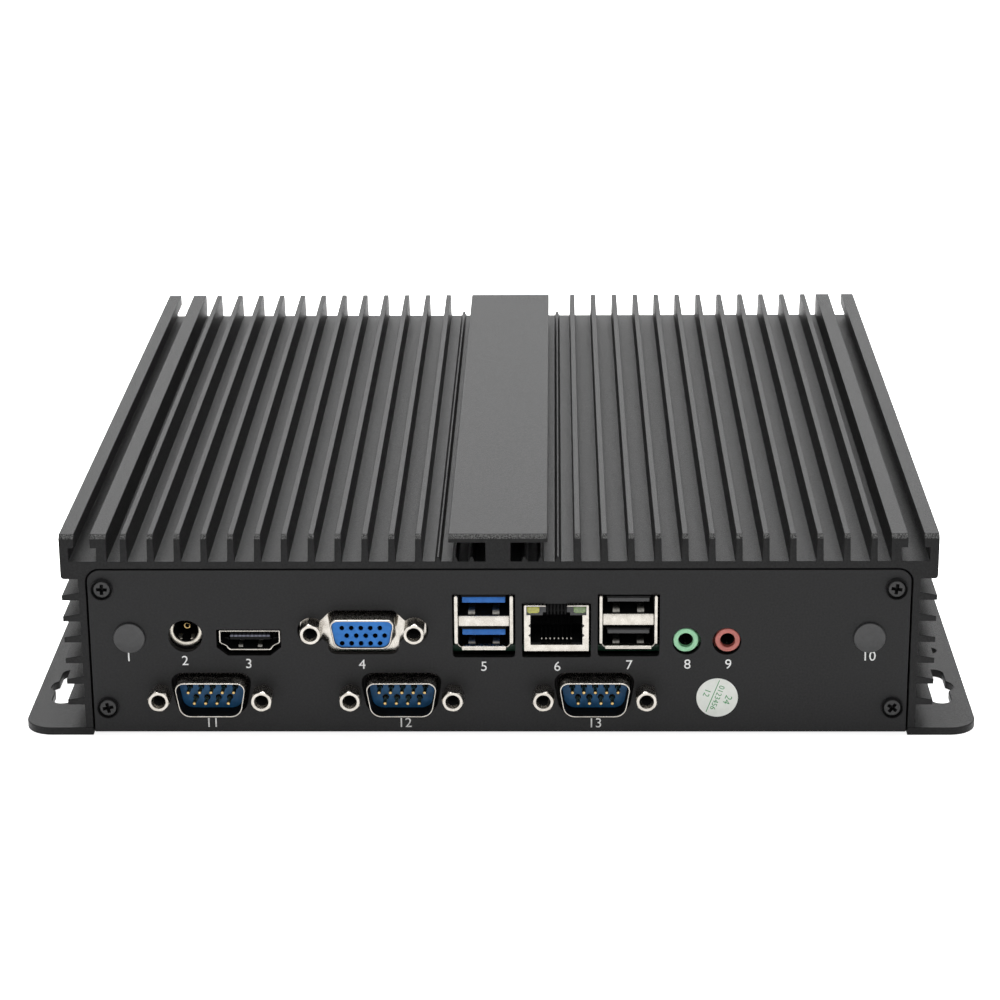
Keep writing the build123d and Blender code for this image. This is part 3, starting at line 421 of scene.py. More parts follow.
def pick(piece, kind, test):
    # selects the faces, edges or points of the piece in edit mode that pass the test
    bpy.ops.mesh.select_mode(type=kind)
    bpy.ops.mesh.select_all(action="DESELECT")
    form = bmesh.from_edit_mesh(piece.data)
    for part in {"FACE": form.faces, "EDGE": form.edges, "VERT": form.verts}[kind]:
        if test(part):
            part.select_set(True)
    form.select_flush_mode()
    bmesh.update_edit_mesh(piece.data)


def roundCorners(offset, segments):
    bpy.ops.mesh.select_mode(type="VERT")
    bpy.ops.mesh.bevel(offset=offset * mm, segments=segments, affect="VERTICES")
    bpy.ops.mesh.select_mode(type="FACE")
    bpy.ops.mesh.select_all(action="SELECT")


def grow(spot, size, steps):
    # extrudes the selected outline step by step: each step is (offset from the outline, y)
    x, z = spot
    lastOffset, lastY = 0.0, steps[0][1]
    for number, (offset, y) in enumerate(steps):
        if number:
            bpy.ops.mesh.extrude_region_move(TRANSFORM_OT_translate={"value": (0, (y - lastY) * mm, 0)})
        if abs(offset - lastOffset) > tiny:
            wide = (size[0] + 2 * offset) / (size[0] + 2 * lastOffset)
            high = (size[1] + 2 * offset) / (size[1] + 2 * lastOffset)
            bpy.ops.transform.resize(value=(wide, 1, high), center_override=(x * mm, front + y * mm, z * mm))
        lastOffset, lastY = offset, y


def endEditing(piece, smoothAngle=35):
    bpy.ops.mesh.select_all(action="SELECT")
    bpy.ops.mesh.normals_make_consistent(inside=False)
    bpy.ops.object.mode_set(mode="OBJECT")
    smoothPiece(piece, smoothAngle)
    return piece


def activate(piece):
    deselectAll()
    piece.select_set(True)
    bpy.context.view_layer.objects.active = piece


def smoothPiece(piece, angle):
    activate(piece)
    bpy.ops.object.shade_smooth_by_angle(angle=radians(angle))


def turnedPiece(name, spot, profile, sides=32, turn=0.0):
    # round piece from a profile of (radius, y), its back end first
    radius = profile[0][0]
    piece = startDisc(name, spot, profile[0][1], radius, sides, turn)
    grow(spot, (2 * radius, 2 * radius), [(step - radius, y) for step, y in profile])
    return endEditing(piece)


def blockPiece(name, low, high, bevel=0.0, segments=2):
    # box between two corners given as (x, y, z), its edges broken
    deselectAll()
    middle = [(a + b) / 2 * mm for a, b in zip(low, high)]
    bpy.ops.mesh.primitive_cube_add(size=1, location=(middle[0], front + middle[1], middle[2]))
    bpy.context.object.scale = [(b - a) * mm for a, b in zip(low, high)]
    piece = editNew(name)
    if bevel:
        bpy.ops.mesh.bevel(offset=bevel * mm, segments=segments, affect="EDGES")
    return endEditing(piece)


def sideSpan(x, side, first, second):
    # left and right end of a piece that lies between two distances on one side of x
    return sorted((x + side * first, x + side * second))


def leafSpring(name, spot, width, path, thickness=0.16):
    # thin strip bent along a path of (y, z) points
    x, z = spot
    y0, z0 = path[0]
    piece = startPlate(name, (x, z + z0), (width, thickness), y0)
    for (lastY, lastZ), (y, height) in zip(path, path[1:]):
        bpy.ops.mesh.extrude_region_move(
            TRANSFORM_OT_translate={"value": (0, (y - lastY) * mm, (height - lastZ) * mm)}
        )
    return endEditing(piece, 60)


def applyModifier(piece, kind, **settings):
    activate(piece)
    modifier = piece.modifiers.new(kind.lower(), kind)
    for name, value in settings.items():
        setattr(modifier, name, value)
    bpy.ops.object.modifier_apply(modifier=modifier.name)


def cutWith(piece, cutter, operation="DIFFERENCE"):
    applyModifier(piece, "BOOLEAN", object=cutter, operation=operation, solver="EXACT")
    bpy.data.objects.remove(cutter)


def joinPieces(pieces, name):
    deselectAll()
    for piece in pieces:
        piece.select_set(True)
    bpy.context.view_layer.objects.active = pieces[0]
    bpy.ops.object.join()
    joined = bpy.context.object
    joined.name = name
    joined.data.name = name
    return joined


def copyPiece(piece, name, shift=(0, 0, 0), turn=0.0, about=None):
    # copy with a mesh of its own, turned about the Y axis through a spot and then moved
    other = bpy.data.objects.new(name, piece.data.copy())
    other.data.name = name
    bpy.context.scene.collection.objects.link(other)
    if turn:
        centre = Matrix.Translation((about[0] * mm, 0, about[1] * mm))
        other.data.transform(centre @ Matrix.Rotation(turn, 4, "Y") @ centre.inverted())
    other.data.transform(Matrix.Translation([value * mm for value in shift]))
    return other


def settle(piece, finish, slot, replaced=(), body="chassis"):
    # gives the piece its finish and hands it to the frame
    piece.data.materials.clear()
    piece.data.materials.append(finishes[finish])
    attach(piece, body)
    if replaced:
        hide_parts(*replaced)


def paintShade(piece, test, finish="paintedShadeBlack"):
    # gives the faces that pass the test a second, darker finish: painted shade where light does not reach
    piece.data.materials.append(finishes[finish])
    place = len(piece.data.materials) - 1
    for face in piece.data.polygons:
        if test(face):
            face.material_index = place


def lookingIn(spot, start, end=200.0):
    # test for the walls of a hole around a spot, between two distances from the case front
    def test(face):
        x, z = face.center.x - spot[0] * mm, face.center.z - spot[1] * mm
        deep = start * mm < face.center.y - front < end * mm
        return deep and (face.normal.x * x + face.normal.z * z < 0 or face.normal.y < -0.7)

    return test


# case and plate: the solids' own shapes with their sharp edges broken
softenedNodes = {
    # node: (piece, bevel width, finish, slot)
    "top_case": ("finned_case", 0.14, "blastedAluminium", "case_paint"),
    "base_plate": ("ear_plate", 0.2, "blastedAluminium", "case_paint"),
}
caseEnds = {"chamfer": 0.6, "above": 50.0}  # sawn ends of the fins and rails


def chamferCaseEnds(piece, shape):
    def atEnd(edge):
        first, second = (corner.co for corner in edge.verts)
        level = min(first.z, second.z) > shape["above"] * mm and abs(first.z - second.z) < tiny
        outer = min(abs(first.y), abs(second.y)) > back - 0.01 * mm
        return level and outer and any(face.normal.z > 0.9 for face in edge.link_faces)

    pick(piece, "EDGE", atEnd)
    bpy.ops.mesh.bevel(offset=shape["chamfer"] * mm, segments=2, profile=0.6, affect="EDGES")


def softenEdges(piece, width):
    applyModifier(
        piece,
        "BEVEL",
        width=width * mm,
        segments=2,
        limit_method="ANGLE",
        angle_limit=radians(40),
        use_clamp_overlap=False,
    )
    smoothPiece(piece, 30)


def mergeFlat(piece):
    # joins the loose triangles and drops the lines inside flat faces
    bpy.ops.mesh.select_all(action="SELECT")
    bpy.ops.mesh.remove_doubles(threshold=0.5 * tiny)
    bpy.ops.mesh.dissolve_limited(angle_limit=radians(1), use_dissolve_boundaries=False)


def softenNode(node, name, width, finish, slot):
    piece = bpy.data.objects.new(name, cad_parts[node].data.copy())
    bpy.context.scene.collection.objects.link(piece)
    activate(piece)
    bpy.ops.object.mode_set(mode="EDIT")
    mergeFlat(piece)
    if node == "top_case":
        chamferCaseEnds(piece, caseEnds)
    endEditing(piece)
    softenEdges(piece, width)
    settle(piece, finish, slot, [node])


for node, (name, width, finish, slot) in softenedNodes.items():
    softenNode(node, name, width, finish, slot)
print("case and plate")

# D-shaped outline, common to the connectors and their openings
connectorShape = {
    "lean": 10.0,  # degrees, of the D's sloping sides
    "flange": (30.8, 12.5),
    "flangeFront": 2.0,
    "flangeBack": 2.8,
    "jackSpacing": 25.0,
    "jackCorner": 2.748,  # from the middle of the hexagon to its corners
    "threadPitch": 0.635,
    "coreWidth": 19.2,
}


def startOutline(name, spot, size, corner, y):
    # D outline, wide at the top, with round corners
    piece = startPlate(name, spot, size, y)
    lean = size[1] * sin(radians(connectorShape["lean"]))
    pick(piece, "VERT", lambda point: point.co.z < spot[1] * mm)
    bpy.ops.transform.resize(value=(1 - 2 * lean / size[0], 1, 1), center_override=(spot[0] * mm, 0, 0))
    bpy.ops.mesh.select_all(action="SELECT")
    roundCorners(corner, 6)
    return piece


# panels with their openings
panelShape = {
    "size": (198.3, 42.3),
    "centre": (0.0, 22.05),
    "corner": 3.05,
    "front": (2.0, 0.0),  # back face and outer face, y
    "rear": (216.0, 218.0),
    "bevel": 0.12,
    "screwHoles": [(x, z, 1.6) for x in (-95.7, 95.7) for z in (7.4, 38.35)],
    "rearHoles": [(-78.0, 25.8, 6.1), (-64.0, 25.8, 1.62)],
    "roundHoles": [(-89.6, 25.8, 3.15), (89.6, 25.8, 3.15), (-76.0, 26.1, 4.1)]
    + [(45.5, 24.75, 3.45), (55.2, 24.7, 3.45)]
    + [(-45.4, 27.6, 3.3), (-20.4, 27.6, 3.3)]
    + [(x + side * 12.5, 10.95, 1.55) for x in (-70.1, -23.65, 23.3) for side in (-1, 1)],
    "serialCuts": [(x - 0.1, 11.05) for x in (-70.1, -23.65, 23.3)],
    "serialCut": ((20.3, 10.8), 3.1),
    "videoCuts": [((-32.9, 28.05), (21.4, 9.4), 3.1, 1), ((-32.75, 27.1), (17.2, 11.3), 2.0, 4)],
    "squareCuts": [((-3.56, 28.72), (15.1, 16.25), 0.9), ((31.45, 28.84), (14.9, 16.0), 0.8)]
    + [((14.0, 27.55), (16.6, 13.9), 0.5)],
    "digitalCut": ((-60.65, 24.43), (15.65, 4.5), [(10.3, -3.33)], 6.66),  # centre, upper part, step, height
}


def startStepped(name, spot, top, steps, high, y):
    # outline with a straight upper part and a lower edge that narrows step by step
    x, z = spot
    width, height = top
    roof = z + high / 2
    piece = startPlate(name, (x, roof - height / 2), (width, height), y)
    pick(piece, "EDGE", lambda edge: all(v.co.z < (roof - height + 0.1) * mm for v in edge.verts))
    lastWidth, lastHeight = width, high / 2 - height
    for stepWidth, stepHeight in steps:
        drop = (stepHeight - lastHeight) * mm
        bpy.ops.mesh.extrude_region_move(TRANSFORM_OT_translate={"value": (0, 0, drop)})
        bpy.ops.transform.resize(value=(stepWidth / lastWidth, 1, 1), center_override=(x * mm, 0, 0))
        lastWidth, lastHeight = stepWidth, stepHeight
    bpy.ops.mesh.select_mode(type="FACE")
    bpy.ops.mesh.select_all(action="SELECT")
    bpy.ops.mesh.dissolve_faces()
    bpy.ops.mesh.select_all(action="SELECT")
    return piece


def makePanel(name, shape, faces, node):
    inner, outer = faces
    panel = startPlate(name, shape["centre"], shape["size"], inner)
    pick(panel, "VERT", lambda point: point.co.z > shape["centre"][1] * mm)
    roundCorners(shape["corner"], 8)
    through = [(0.0, inner + 1), (0.0, outer - 1)] if inner > outer else [(0.0, inner - 1), (0.0, outer + 1)]
    grow(shape["centre"], shape["size"], [(0.0, inner), (0.0, outer)])
    endEditing(panel)
    startY = through[0][0] + through[0][1]
    holes = shape["screwHoles"] + (shape["roundHoles"] if node == "front_panel" else shape["rearHoles"])
    for x, z, radius in holes:
        cutWith(panel, turnedPiece("hole", (x, z), [(radius, y) for offset, y in through], 40))
    if node == "front_panel":
        for spot in shape["serialCuts"]:
            size, corner = shape["serialCut"]
            cutter = startOutline("cut", spot, size, corner, startY)
            grow(spot, size, through)
            cutWith(panel, endEditing(cutter))
        for spot, size, corner, segments in shape["videoCuts"]:
            cutter = startPlate("cut", spot, size, startY)
            roundCorners(corner, segments)
            grow(spot, size, through)
            cutWith(panel, endEditing(cutter))
        for spot, size, corner in shape["squareCuts"]:
            cutter = startPlate("cut", spot, size, startY)
            pick(cutter, "VERT", lambda point, level=spot[1]: point.co.z < level * mm)
            roundCorners(corner, 4)
            grow(spot, size, through)
            cutWith(panel, endEditing(cutter))
        spot, top, steps, high = shape["digitalCut"]
        cutter = startStepped("cut", spot, top, steps, high, startY)
        grow(spot, (top[0], high), through)
        cutWith(panel, endEditing(cutter))
    activate(panel)
    bpy.ops.object.mode_set(mode="EDIT")
    mergeFlat(panel)
    endEditing(panel)
    softenEdges(panel, shape["bevel"])
    settle(panel, "powderCoat", "panel_paint", [node])
    halfWide, halfHigh = (0.5 * size * mm - 0.6 * mm for size in shape["size"])
    level = shape["centre"][1] * mm

    def cutWall(face):
        inside = abs(face.center.x) < halfWide and abs(face.center.z - level) < halfHigh
        return inside and abs(face.normal.y) < 0.5

    # painted shade on the walls of the openings
    paintShade(panel, cutWall)


makePanel("port_panel", panelShape, panelShape["front"], "front_panel")
makePanel("plain_panel", panelShape, panelShape["rear"], "rear_panel")
print("panels")

# pan-head screws with a cross recess
screwShape = {
    # shank, cup washer, and the head set back in it; the washer and the head's side carry painted shade, for the dark
    # ring round the head
    "profile": [(1.25, 8.0), (1.45, 7.7), (1.45, 0.0), (2.62, 0.0), (2.62, -0.8), (2.55, -0.95), (2.46, -0.95)]
    + [(2.38, -0.8), (2.26, -0.1), (2.2, -0.06), (2.13, -0.24), (2.0, -0.36), (1.85, -0.41), (1.7, -0.39)],
    "recessArm": (2.7, 0.86),
    "bright": (-0.42, -0.2),  # y of the head's face; the rest is darker, painted shade
    "recessFoot": 0.45,  # share of the arm left at the bottom of the recess
    "recessDepth": 1.25,
    "spots": [(-95.7, 38.35), (-95.7, 7.4), (95.7, 38.35), (95.7, 7.4)],
    "turns": [2, -12, 8, 38],  # degrees, as the four screws were left
    "rearTurns": [20, -31, 12, 55],
}


def recessArm(name, width, height, top):
    arm = startPlate(name, (0, 0), (width, height), top)
    grow((0, 0), (width, height), [(0.0, top), (0.0, top + 0.15)])
    depth = screwShape["recessDepth"]
    foot = screwShape["recessFoot"]
    bpy.ops.mesh.extrude_region_move(TRANSFORM_OT_translate={"value": (0, depth * mm, 0)})
    bpy.ops.transform.resize(value=(foot, 1, foot), center_override=(0, front, 0))
    return endEditing(arm)


def makeScrews(shape):
    head = turnedPiece("screw_model", (0, 0), shape["profile"], 40)
    top = shape["profile"][-1][1] - 0.2
    armWidth, armHeight = shape["recessArm"]
    for size in ((armWidth, armHeight), (armHeight, armWidth)):
        cutWith(head, recessArm("recess", *size, top))
    smoothPiece(head, 32)
    near, far = shape["bright"]
    for number, ((x, z), turn, rearTurn) in enumerate(zip(shape["spots"], shape["turns"], shape["rearTurns"]), 1):
        screw = copyPiece(head, f"panel_screw_{number}", (x, 0, z), radians(turn), (0, 0))
        settle(screw, "blackZinc", "black_screws", ["front_panel_screws"])
        # painted shade on all of the screw but the head's face
        paintShade(screw, lambda face: not near < (face.center.y - front) / mm < far)
        rear = copyPiece(head, f"rear_screw_{number}", (x, 0, z), radians(rearTurn), (0, 0))
        rear.data.transform(Matrix.Rotation(pi, 4, "Z"))
        settle(rear, "blackZinc", "black_screws", ["rear_panel_screws"])
        # the same painted shade on the rear screws
        paintShade(rear, lambda face: not near < (back - face.center.y) / mm < far)
    bpy.data.objects.remove(head)


makeScrews(screwShape)
print("screws")

# blanking plugs: rounded rim and a dished face
plugShape = {
    "profile": [(3.1, 3.4), (3.1, 0.0), (3.85, 0.0), (3.85, -0.42), (3.78, -0.6), (3.62, -0.7), (3.42, -0.66)]
    + [(3.1, -0.55), (2.4, -0.42), (1.4, -0.34), (0.5, -0.31)],
    "spots": {"left": (-89.6, 25.8), "right": (89.6, 25.8)},
}


def makePlugs(shape):
    for side, spot in shape["spots"].items():
        plug = turnedPiece(f"blanking_plug_{side}", spot, shape["profile"], 48)
        settle(plug, "plugPlastic", "plug_plastic", [f"antenna_plug_{side}"])


makePlugs(plugShape)
print("blanking plugs")

# D-shaped connectors
serialShape = {
    "centres": (-70.1, -23.65, 23.3),
    "height": 10.95,
    "size": (17.75, 8.95),
    "corner": 2.35,
    "wall": 0.3,
    "nose": [(0.0, 0.2), (-0.06, 0.05), (-0.14, 0.0)],  # rounding of the rim: offset, distance behind it
    "rim": -4.1,
    "coreFront": 1.1,
    "pinRadius": 0.47,
    "pinPitch": 2.77,
    "pinShift": (0.1, 0.16),
    "rowGap": 2.84,
    "pinTip": -3.2,
    "dimples": (-3.85, 0.0, 3.85),
    "dimpleY": -0.9,
    "dimpleRadius": 1.7,
    "dimpleReach": 1.47,  # from the shell's wall to the middle of the ball that presses the dimple
    "jackFront": -5.0,
    "jackSeat": 0.0,
    "jackTurns": [12, 40, 25, 8, 50, 20],
}
videoShape = {
    "spot": (-32.84, 28.04),
    "jackSpot": (-32.9, 27.8),
    "size": (16.3, 7.8),
    "corner": 1.9,
    "wall": 0.52,
    "nose": [(0.0, 1.0), (-0.07, 0.5), (-0.17, 0.18), (-0.28, 0.03), (-0.34, 0.0)],
    "rim": -4.0,
    "coreFront": -3.55,
    "holeRadius": 0.56,
    "pitch": 2.29,
    "holeShift": (0.31, -0.36),
    "rowGap": 1.98,
    "jackFront": -3.4,
    "jackSeat": 2.0,
    "jackTurns": [20, 35],
}


def makeShell(name, spot, shape, dimples=()):
    size, rim = shape["size"], shape["rim"]
    wall = shape["wall"]
    seat = connectorShape["flangeFront"]
    shell = startOutline(name, spot, size, shape["corner"], seat)
    steps = [(0.8, seat), (0.35, seat - 0.12), (0.1, seat - 0.4), (0.0, seat - 0.9)]
    steps += [(offset, rim + depth) for offset, depth in shape["nose"]]
    steps += [(0.1 - wall, rim), (0.03 - wall, rim + 0.04), (-wall, rim + 0.14), (-wall, seat - 0.1)]
    grow(spot, size, steps)
    endEditing(shell, 40)
    for offset in dimples:
        for way in (-1, 1):
            bpy.ops.mesh.primitive_uv_sphere_add(
                segments=24,
                ring_count=14,
                radius=shape["dimpleRadius"] * mm,
                location=(
                    (spot[0] + offset) * mm,
                    front + shape["dimpleY"] * mm,
                    (spot[1] + way * (size[1] / 2 + shape["dimpleReach"])) * mm,
                ),
            )
            cutter = bpy.context.object
            bpy.ops.object.transform_apply(location=True, rotation=True, scale=True)
            cutWith(shell, cutter)
    spot = shape.get("jackSpot", spot)
    plate = startPlate(name + "_flange", spot, connectorShape["flange"], connectorShape["flangeBack"])
    roundCorners(1.2, 4)
    grow(spot, connectorShape["flange"], [(0.0, connectorShape["flangeBack"]), (0.0, seat + 0.1), (-0.1, seat)])
    endEditing(plate)
    shell = joinPieces([shell, plate], name)
    smoothPiece(shell, 40)
    return shell


def makeCore(name, spot, shape, front, boardTop):
    # moulded core, with its wider body behind the flange
    size = shape["size"]
    wall = shape["wall"] + 0.02
    back = connectorShape["flangeBack"]
    core = startOutline(name, spot, size, shape["corner"], back)
    grow(spot, size, [(-wall, back), (-wall, front + 0.12), (-wall - 0.12, front)])
    endEditing(core)
    half = connectorShape["coreWidth"] / 2
    top = spot[1] + shape["bodyTop"]
    body = blockPiece(
        name + "_body", (spot[0] - half, back, boardTop), (spot[0] + half, back + shape["bodyDepth"], top), 0.3
    )
    return core, body


def makeJackscrew(shape):
    # hexagon with turned-down corners and a threaded hole, modelled at the origin
    frontY, seat = shape["jackFront"], shape["jackSeat"]
    corner, pitch = connectorShape["jackCorner"], connectorShape["threadPitch"]
    screw = turnedPiece("jackscrew_model", (0, 0), [(corner, seat), (corner, frontY)], 6, radians(30))
    rounding = [(3.2, seat + 1), (3.2, frontY + 0.95), (2.62, frontY + 0.3), (2.42, frontY), (2.3, frontY - 0.5)]
    cutWith(screw, turnedPiece("trim", (0, 0), rounding, 48), "INTERSECT")
    bore = [(0.9, frontY + 4.5), (1.15, frontY + 4.2)]
    for ring in range(5):
        y = frontY + 4.1 - ring * pitch
        bore += [(1.26, y), (1.48, y - 0.3 * pitch), (1.48, y - 0.4 * pitch), (1.26, y - 0.8 * pitch)]
    bore += [(1.36, frontY + 0.75), (1.7, frontY + 0.3), (1.76, frontY + 0.06), (1.86, frontY - 0.2)]
    cutWith(screw, turnedPiece("bore", (0, 0), bore, 28))
    shank = turnedPiece("shank", (0, 0), [(1.2, 4.8), (1.4, 4.6), (1.4, seat - 0.2)], 24)
    screw = joinPieces([screw, shank], "jackscrew_model")
    smoothPiece(screw, 30)
    return screw


def makeSerialPorts(shape):
    firstSpot = (shape["centres"][0], shape["height"])
    shell = makeShell("serial_shell_model", firstSpot, shape, shape["dimples"])
    shape["bodyTop"], shape["bodyDepth"] = connectorShape["flange"][1] / 2, 8.0
    core, body = makeCore("serial_core_model", firstSpot, shape, shape["coreFront"], shape["height"] - 6.35)
    pinSpots = [
        (
            firstSpot[0] + shape["pinShift"][0] + (i - (count - 1) / 2) * shape["pinPitch"],
            firstSpot[1] + shape["pinShift"][1] + way * shape["rowGap"] / 2,
        )
        for count, way in ((5, 1), (4, -1))
        for i in range(count)
    ]
    radius, tip = shape["pinRadius"], shape["pinTip"]
    seat = shape["coreFront"]
    profile = [(radius, seat + 0.5), (radius, tip + 0.42), (0.92 * radius, tip + 0.2), (0.7 * radius, tip + 0.06)]
    pin = turnedPiece("pin_model", pinSpots[0], profile + [(0.35 * radius, tip)], 16)
    well = turnedPiece("well_model", pinSpots[0], [(0.62, seat + 0.35), (0.86, seat - 0.2)], 20)
    for x, z in pinSpots[1:]:
        cutWith(core, copyPiece(well, "well", (x - pinSpots[0][0], 0, z - pinSpots[0][1])))
    cutWith(core, well)
    core = joinPieces([core, body], "serial_core_model")
    smoothPiece(core, 30)
    pins = [copyPiece(pin, "pin", (x - pinSpots[0][0], 0, z - pinSpots[0][1])) for x, z in pinSpots[1:]]
    pins = joinPieces([pin, *pins], "pin_set_model")
    jackscrew = makeJackscrew(shape)
    for number, centre in enumerate(shape["centres"], 1):
        shift = (centre - shape["centres"][0], 0, 0)
        case = copyPiece(shell, f"serial_port_{number}_shell", shift)
        settle(case, "nickel", "nickel", [f"serial_{number}_shell"])
        # painted shade inside the shell and on the flange behind the opening
        inside = lookingIn((centre, shape["height"]), shape["rim"] + 0.12, seat)
        flangeY = front + (connectorShape["flangeFront"] - 0.1) * mm
        paintShade(case, lambda face: inside(face) or face.center.y > flangeY)
        insulator = copyPiece(core, f"serial_port_{number}_core", shift)
        settle(insulator, "deepBlueMoulding", "navy_moulding", [f"serial_{number}_insulator"])
        # painted shade on the insulator behind its front face and in the pin wells
        paintShade(insulator, lambda face: face.center.y > front + (seat + 0.04) * mm)
        settle(copyPiece(pins, f"serial_port_{number}_pins", shift), "goldPlate", "gold", [f"serial_{number}_pins"])
        for side, turn in zip((-1, 1), shape["jackTurns"][2 * number - 2 :]):
            spot = (centre + side * connectorShape["jackSpacing"] / 2, 0, shape["height"])
            name = f"serial_{number}_jackscrew_{'left' if side < 0 else 'right'}"
            screw = copyPiece(jackscrew, name, spot, radians(turn), (0, 0))
            settle(screw, "nickel", "nickel", [f"serial_{number}_jackscrews"])
            # painted shade down the threaded bore
            paintShade(screw, lookingIn((spot[0], spot[2]), shape["jackFront"] + 1.35))
    for model in (shell, core, pins, jackscrew):
        bpy.data.objects.remove(model)


def makeVideoPort(shape):
    spot = shape["spot"]
    shell = makeShell("video_port_shell", spot, shape)
    settle(shell, "nickel", "nickel", ["video_shell"])
    # painted shade inside the shell
    paintShade(shell, lookingIn(spot, shape["rim"] + 0.12, 1.5))
    shape["bodyTop"], shape["bodyDepth"] = shape["size"][1] / 2, 9.0
    core, body = makeCore("video_port_core", spot, shape, shape["coreFront"], 22.3)
    holes = [
        (
            spot[0] + shape["holeShift"][0] + (i + shift) * shape["pitch"],
            spot[1] + shape["holeShift"][1] + row * shape["rowGap"],
        )
        for row, shift in ((-1, -0.25), (0, 0.25), (1, -0.25))
        for i in range(-2, 3)
    ]
    radius, face = shape["holeRadius"], shape["coreFront"]
    profile = [(radius, face + 3.4), (radius, face + 0.14), (radius + 0.05, face + 0.05), (radius + 0.14, face - 0.1)]
    drill = turnedPiece("drill_model", holes[0], profile, 20)
    for x, z in holes[1:]:
        cutWith(core, copyPiece(drill, "drill", (x - holes[0][0], 0, z - holes[0][1])))
    cutWith(core, drill)
    core = joinPieces([core, body], "video_port_core")
    smoothPiece(core, 30)
    settle(core, "brightBlueMoulding", "blue_moulding", ["video_insulator"])
    # painted shade inside the contact holes and behind the front face
    paintShade(core, lambda part: part.center.y > front + (face + 0.16) * mm)
    jackscrew = makeJackscrew(shape)
    for side, turn in zip((-1, 1), shape["jackTurns"]):
        place = (shape["jackSpot"][0] + side * connectorShape["jackSpacing"] / 2, 0, shape["jackSpot"][1])
        name = f"video_jackscrew_{'left' if side < 0 else 'right'}"
        screw = copyPiece(jackscrew, name, place, radians(turn), (0, 0))
        settle(screw, "nickel", "nickel", ["video_jackscrews"])
        # painted shade down the threaded bore
        paintShade(screw, lookingIn((place[0], place[2]), shape["jackFront"] + 1.35))
    bpy.data.objects.remove(jackscrew)


makeSerialPorts(serialShape)
makeVideoPort(videoShape)
print("D-shaped connectors")

# power inlet: plated sleeve with a turned lip, spring tabs and a pin with a bored tip in a moulded body
inletShape = {
    "spot": (-76.25, 26.45),
    "sleeve": [(3.35, 13.2), (3.35, 4.3), (4.3, 4.2), (4.38, 4.0), (4.38, 3.4), (4.3, 3.15), (4.1, 3.02), (3.8, 3.0)]
    + [(3.4, 3.02), (3.15, 3.12), (3.02, 3.3), (3.0, 3.6), (3.15, 3.7), (3.15, 13.0)],
    "pin": [(1.0, 13.3), (1.0, 6.75), (0.93, 6.4), (0.74, 6.2), (0.55, 6.24), (0.48, 6.4), (0.45, 7.6)],
    "shade_lining": [(3.14, 13.0), (3.14, 3.72), (3.0, 3.72), (2.94, 3.9), (2.94, 12.9)],
    "tabs": [(-1.55, -2.25), (1.55, -2.25)],
    "tabPath": [(3.9, -0.25), (4.5, 0.1), (5.6, 0.3), (7.0, -0.3)],
}


def makeInlet(shape):
    x, z = shape["spot"]
    sleeve = turnedPiece("power_inlet_ring", shape["spot"], shape["sleeve"], 48)
    tabs = [leafSpring("tab", (x + dx, z + dz), 1.0, shape["tabPath"]) for dx, dz in shape["tabs"]]
    sleeve = joinPieces([sleeve, *tabs], "power_inlet_ring")
    smoothPiece(sleeve, 40)
    settle(sleeve, "satinNickel", "nickel", ["power_inlet_sleeve"])
    pin = turnedPiece("power_inlet_post", shape["spot"], shape["pin"], 28)
    settle(pin, "goldPlate", "gold", ["power_inlet_pin"])
    # painted shade inside the pin's hollow tip
    paintShade(pin, lookingIn(shape["spot"], shape["pin"][-2][1]))
    # the body, its bore lining and a strip below the opening are near black: painted shade
    low, high = (-81.1, 4.8, 22.3), (-70.9, 16.8, 31.2)
    body = blockPiece("power_inlet_housing", low, high, 0.35)
    cutWith(body, turnedPiece("bore", shape["spot"], [(3.6, 13.4), (3.6, 4.0)], 48))
    shade_lining = turnedPiece("shade_lining", shape["spot"], shape["shade_lining"], 48)
    shade_apron = blockPiece("shade_apron", (-80.9, 3.35, 20.9), (-71.4, 3.85, 22.4), 0.1)
    body = joinPieces([body, shade_lining, shade_apron], "power_inlet_housing")
    smoothPiece(body, 30)
    settle(body, "paintedShadeBlack", "black_moulding", ["power_inlet_body"])


makeInlet(inletShape)
print("power inlet")

# digital display port: folded shell with stepped lower corners, spring tabs and contact strips
digitalShape = {
    "spot": (-60.37, 25.15),
    "top": (14.8, 2.75),  # width and height of the straight upper part
    "steps": [(14.7, -0.5), (14.1, -0.8), (12.3, -1.25), (11.5, -1.55), (10.6, -2.2), (10.1, -2.48), (9.6, -2.55)],
    "high": 5.1,
    "front": -0.3,
    "back": 10.6,
    "wall": 0.34,
    "tongue": ((-65.25, 0.7, 25.0), (-55.35, 10.2, 26.35)),
    "nose": 0.5,  # sloping front of the tongue
    "strips": (10, 0.98, 0.78),  # count, pitch, width
    "springs": (-2.35, 2.35),
    "springPath": [(0.9, 0.1), (1.5, 0.6), (2.6, 0.95), (4.6, 0.4)],
}


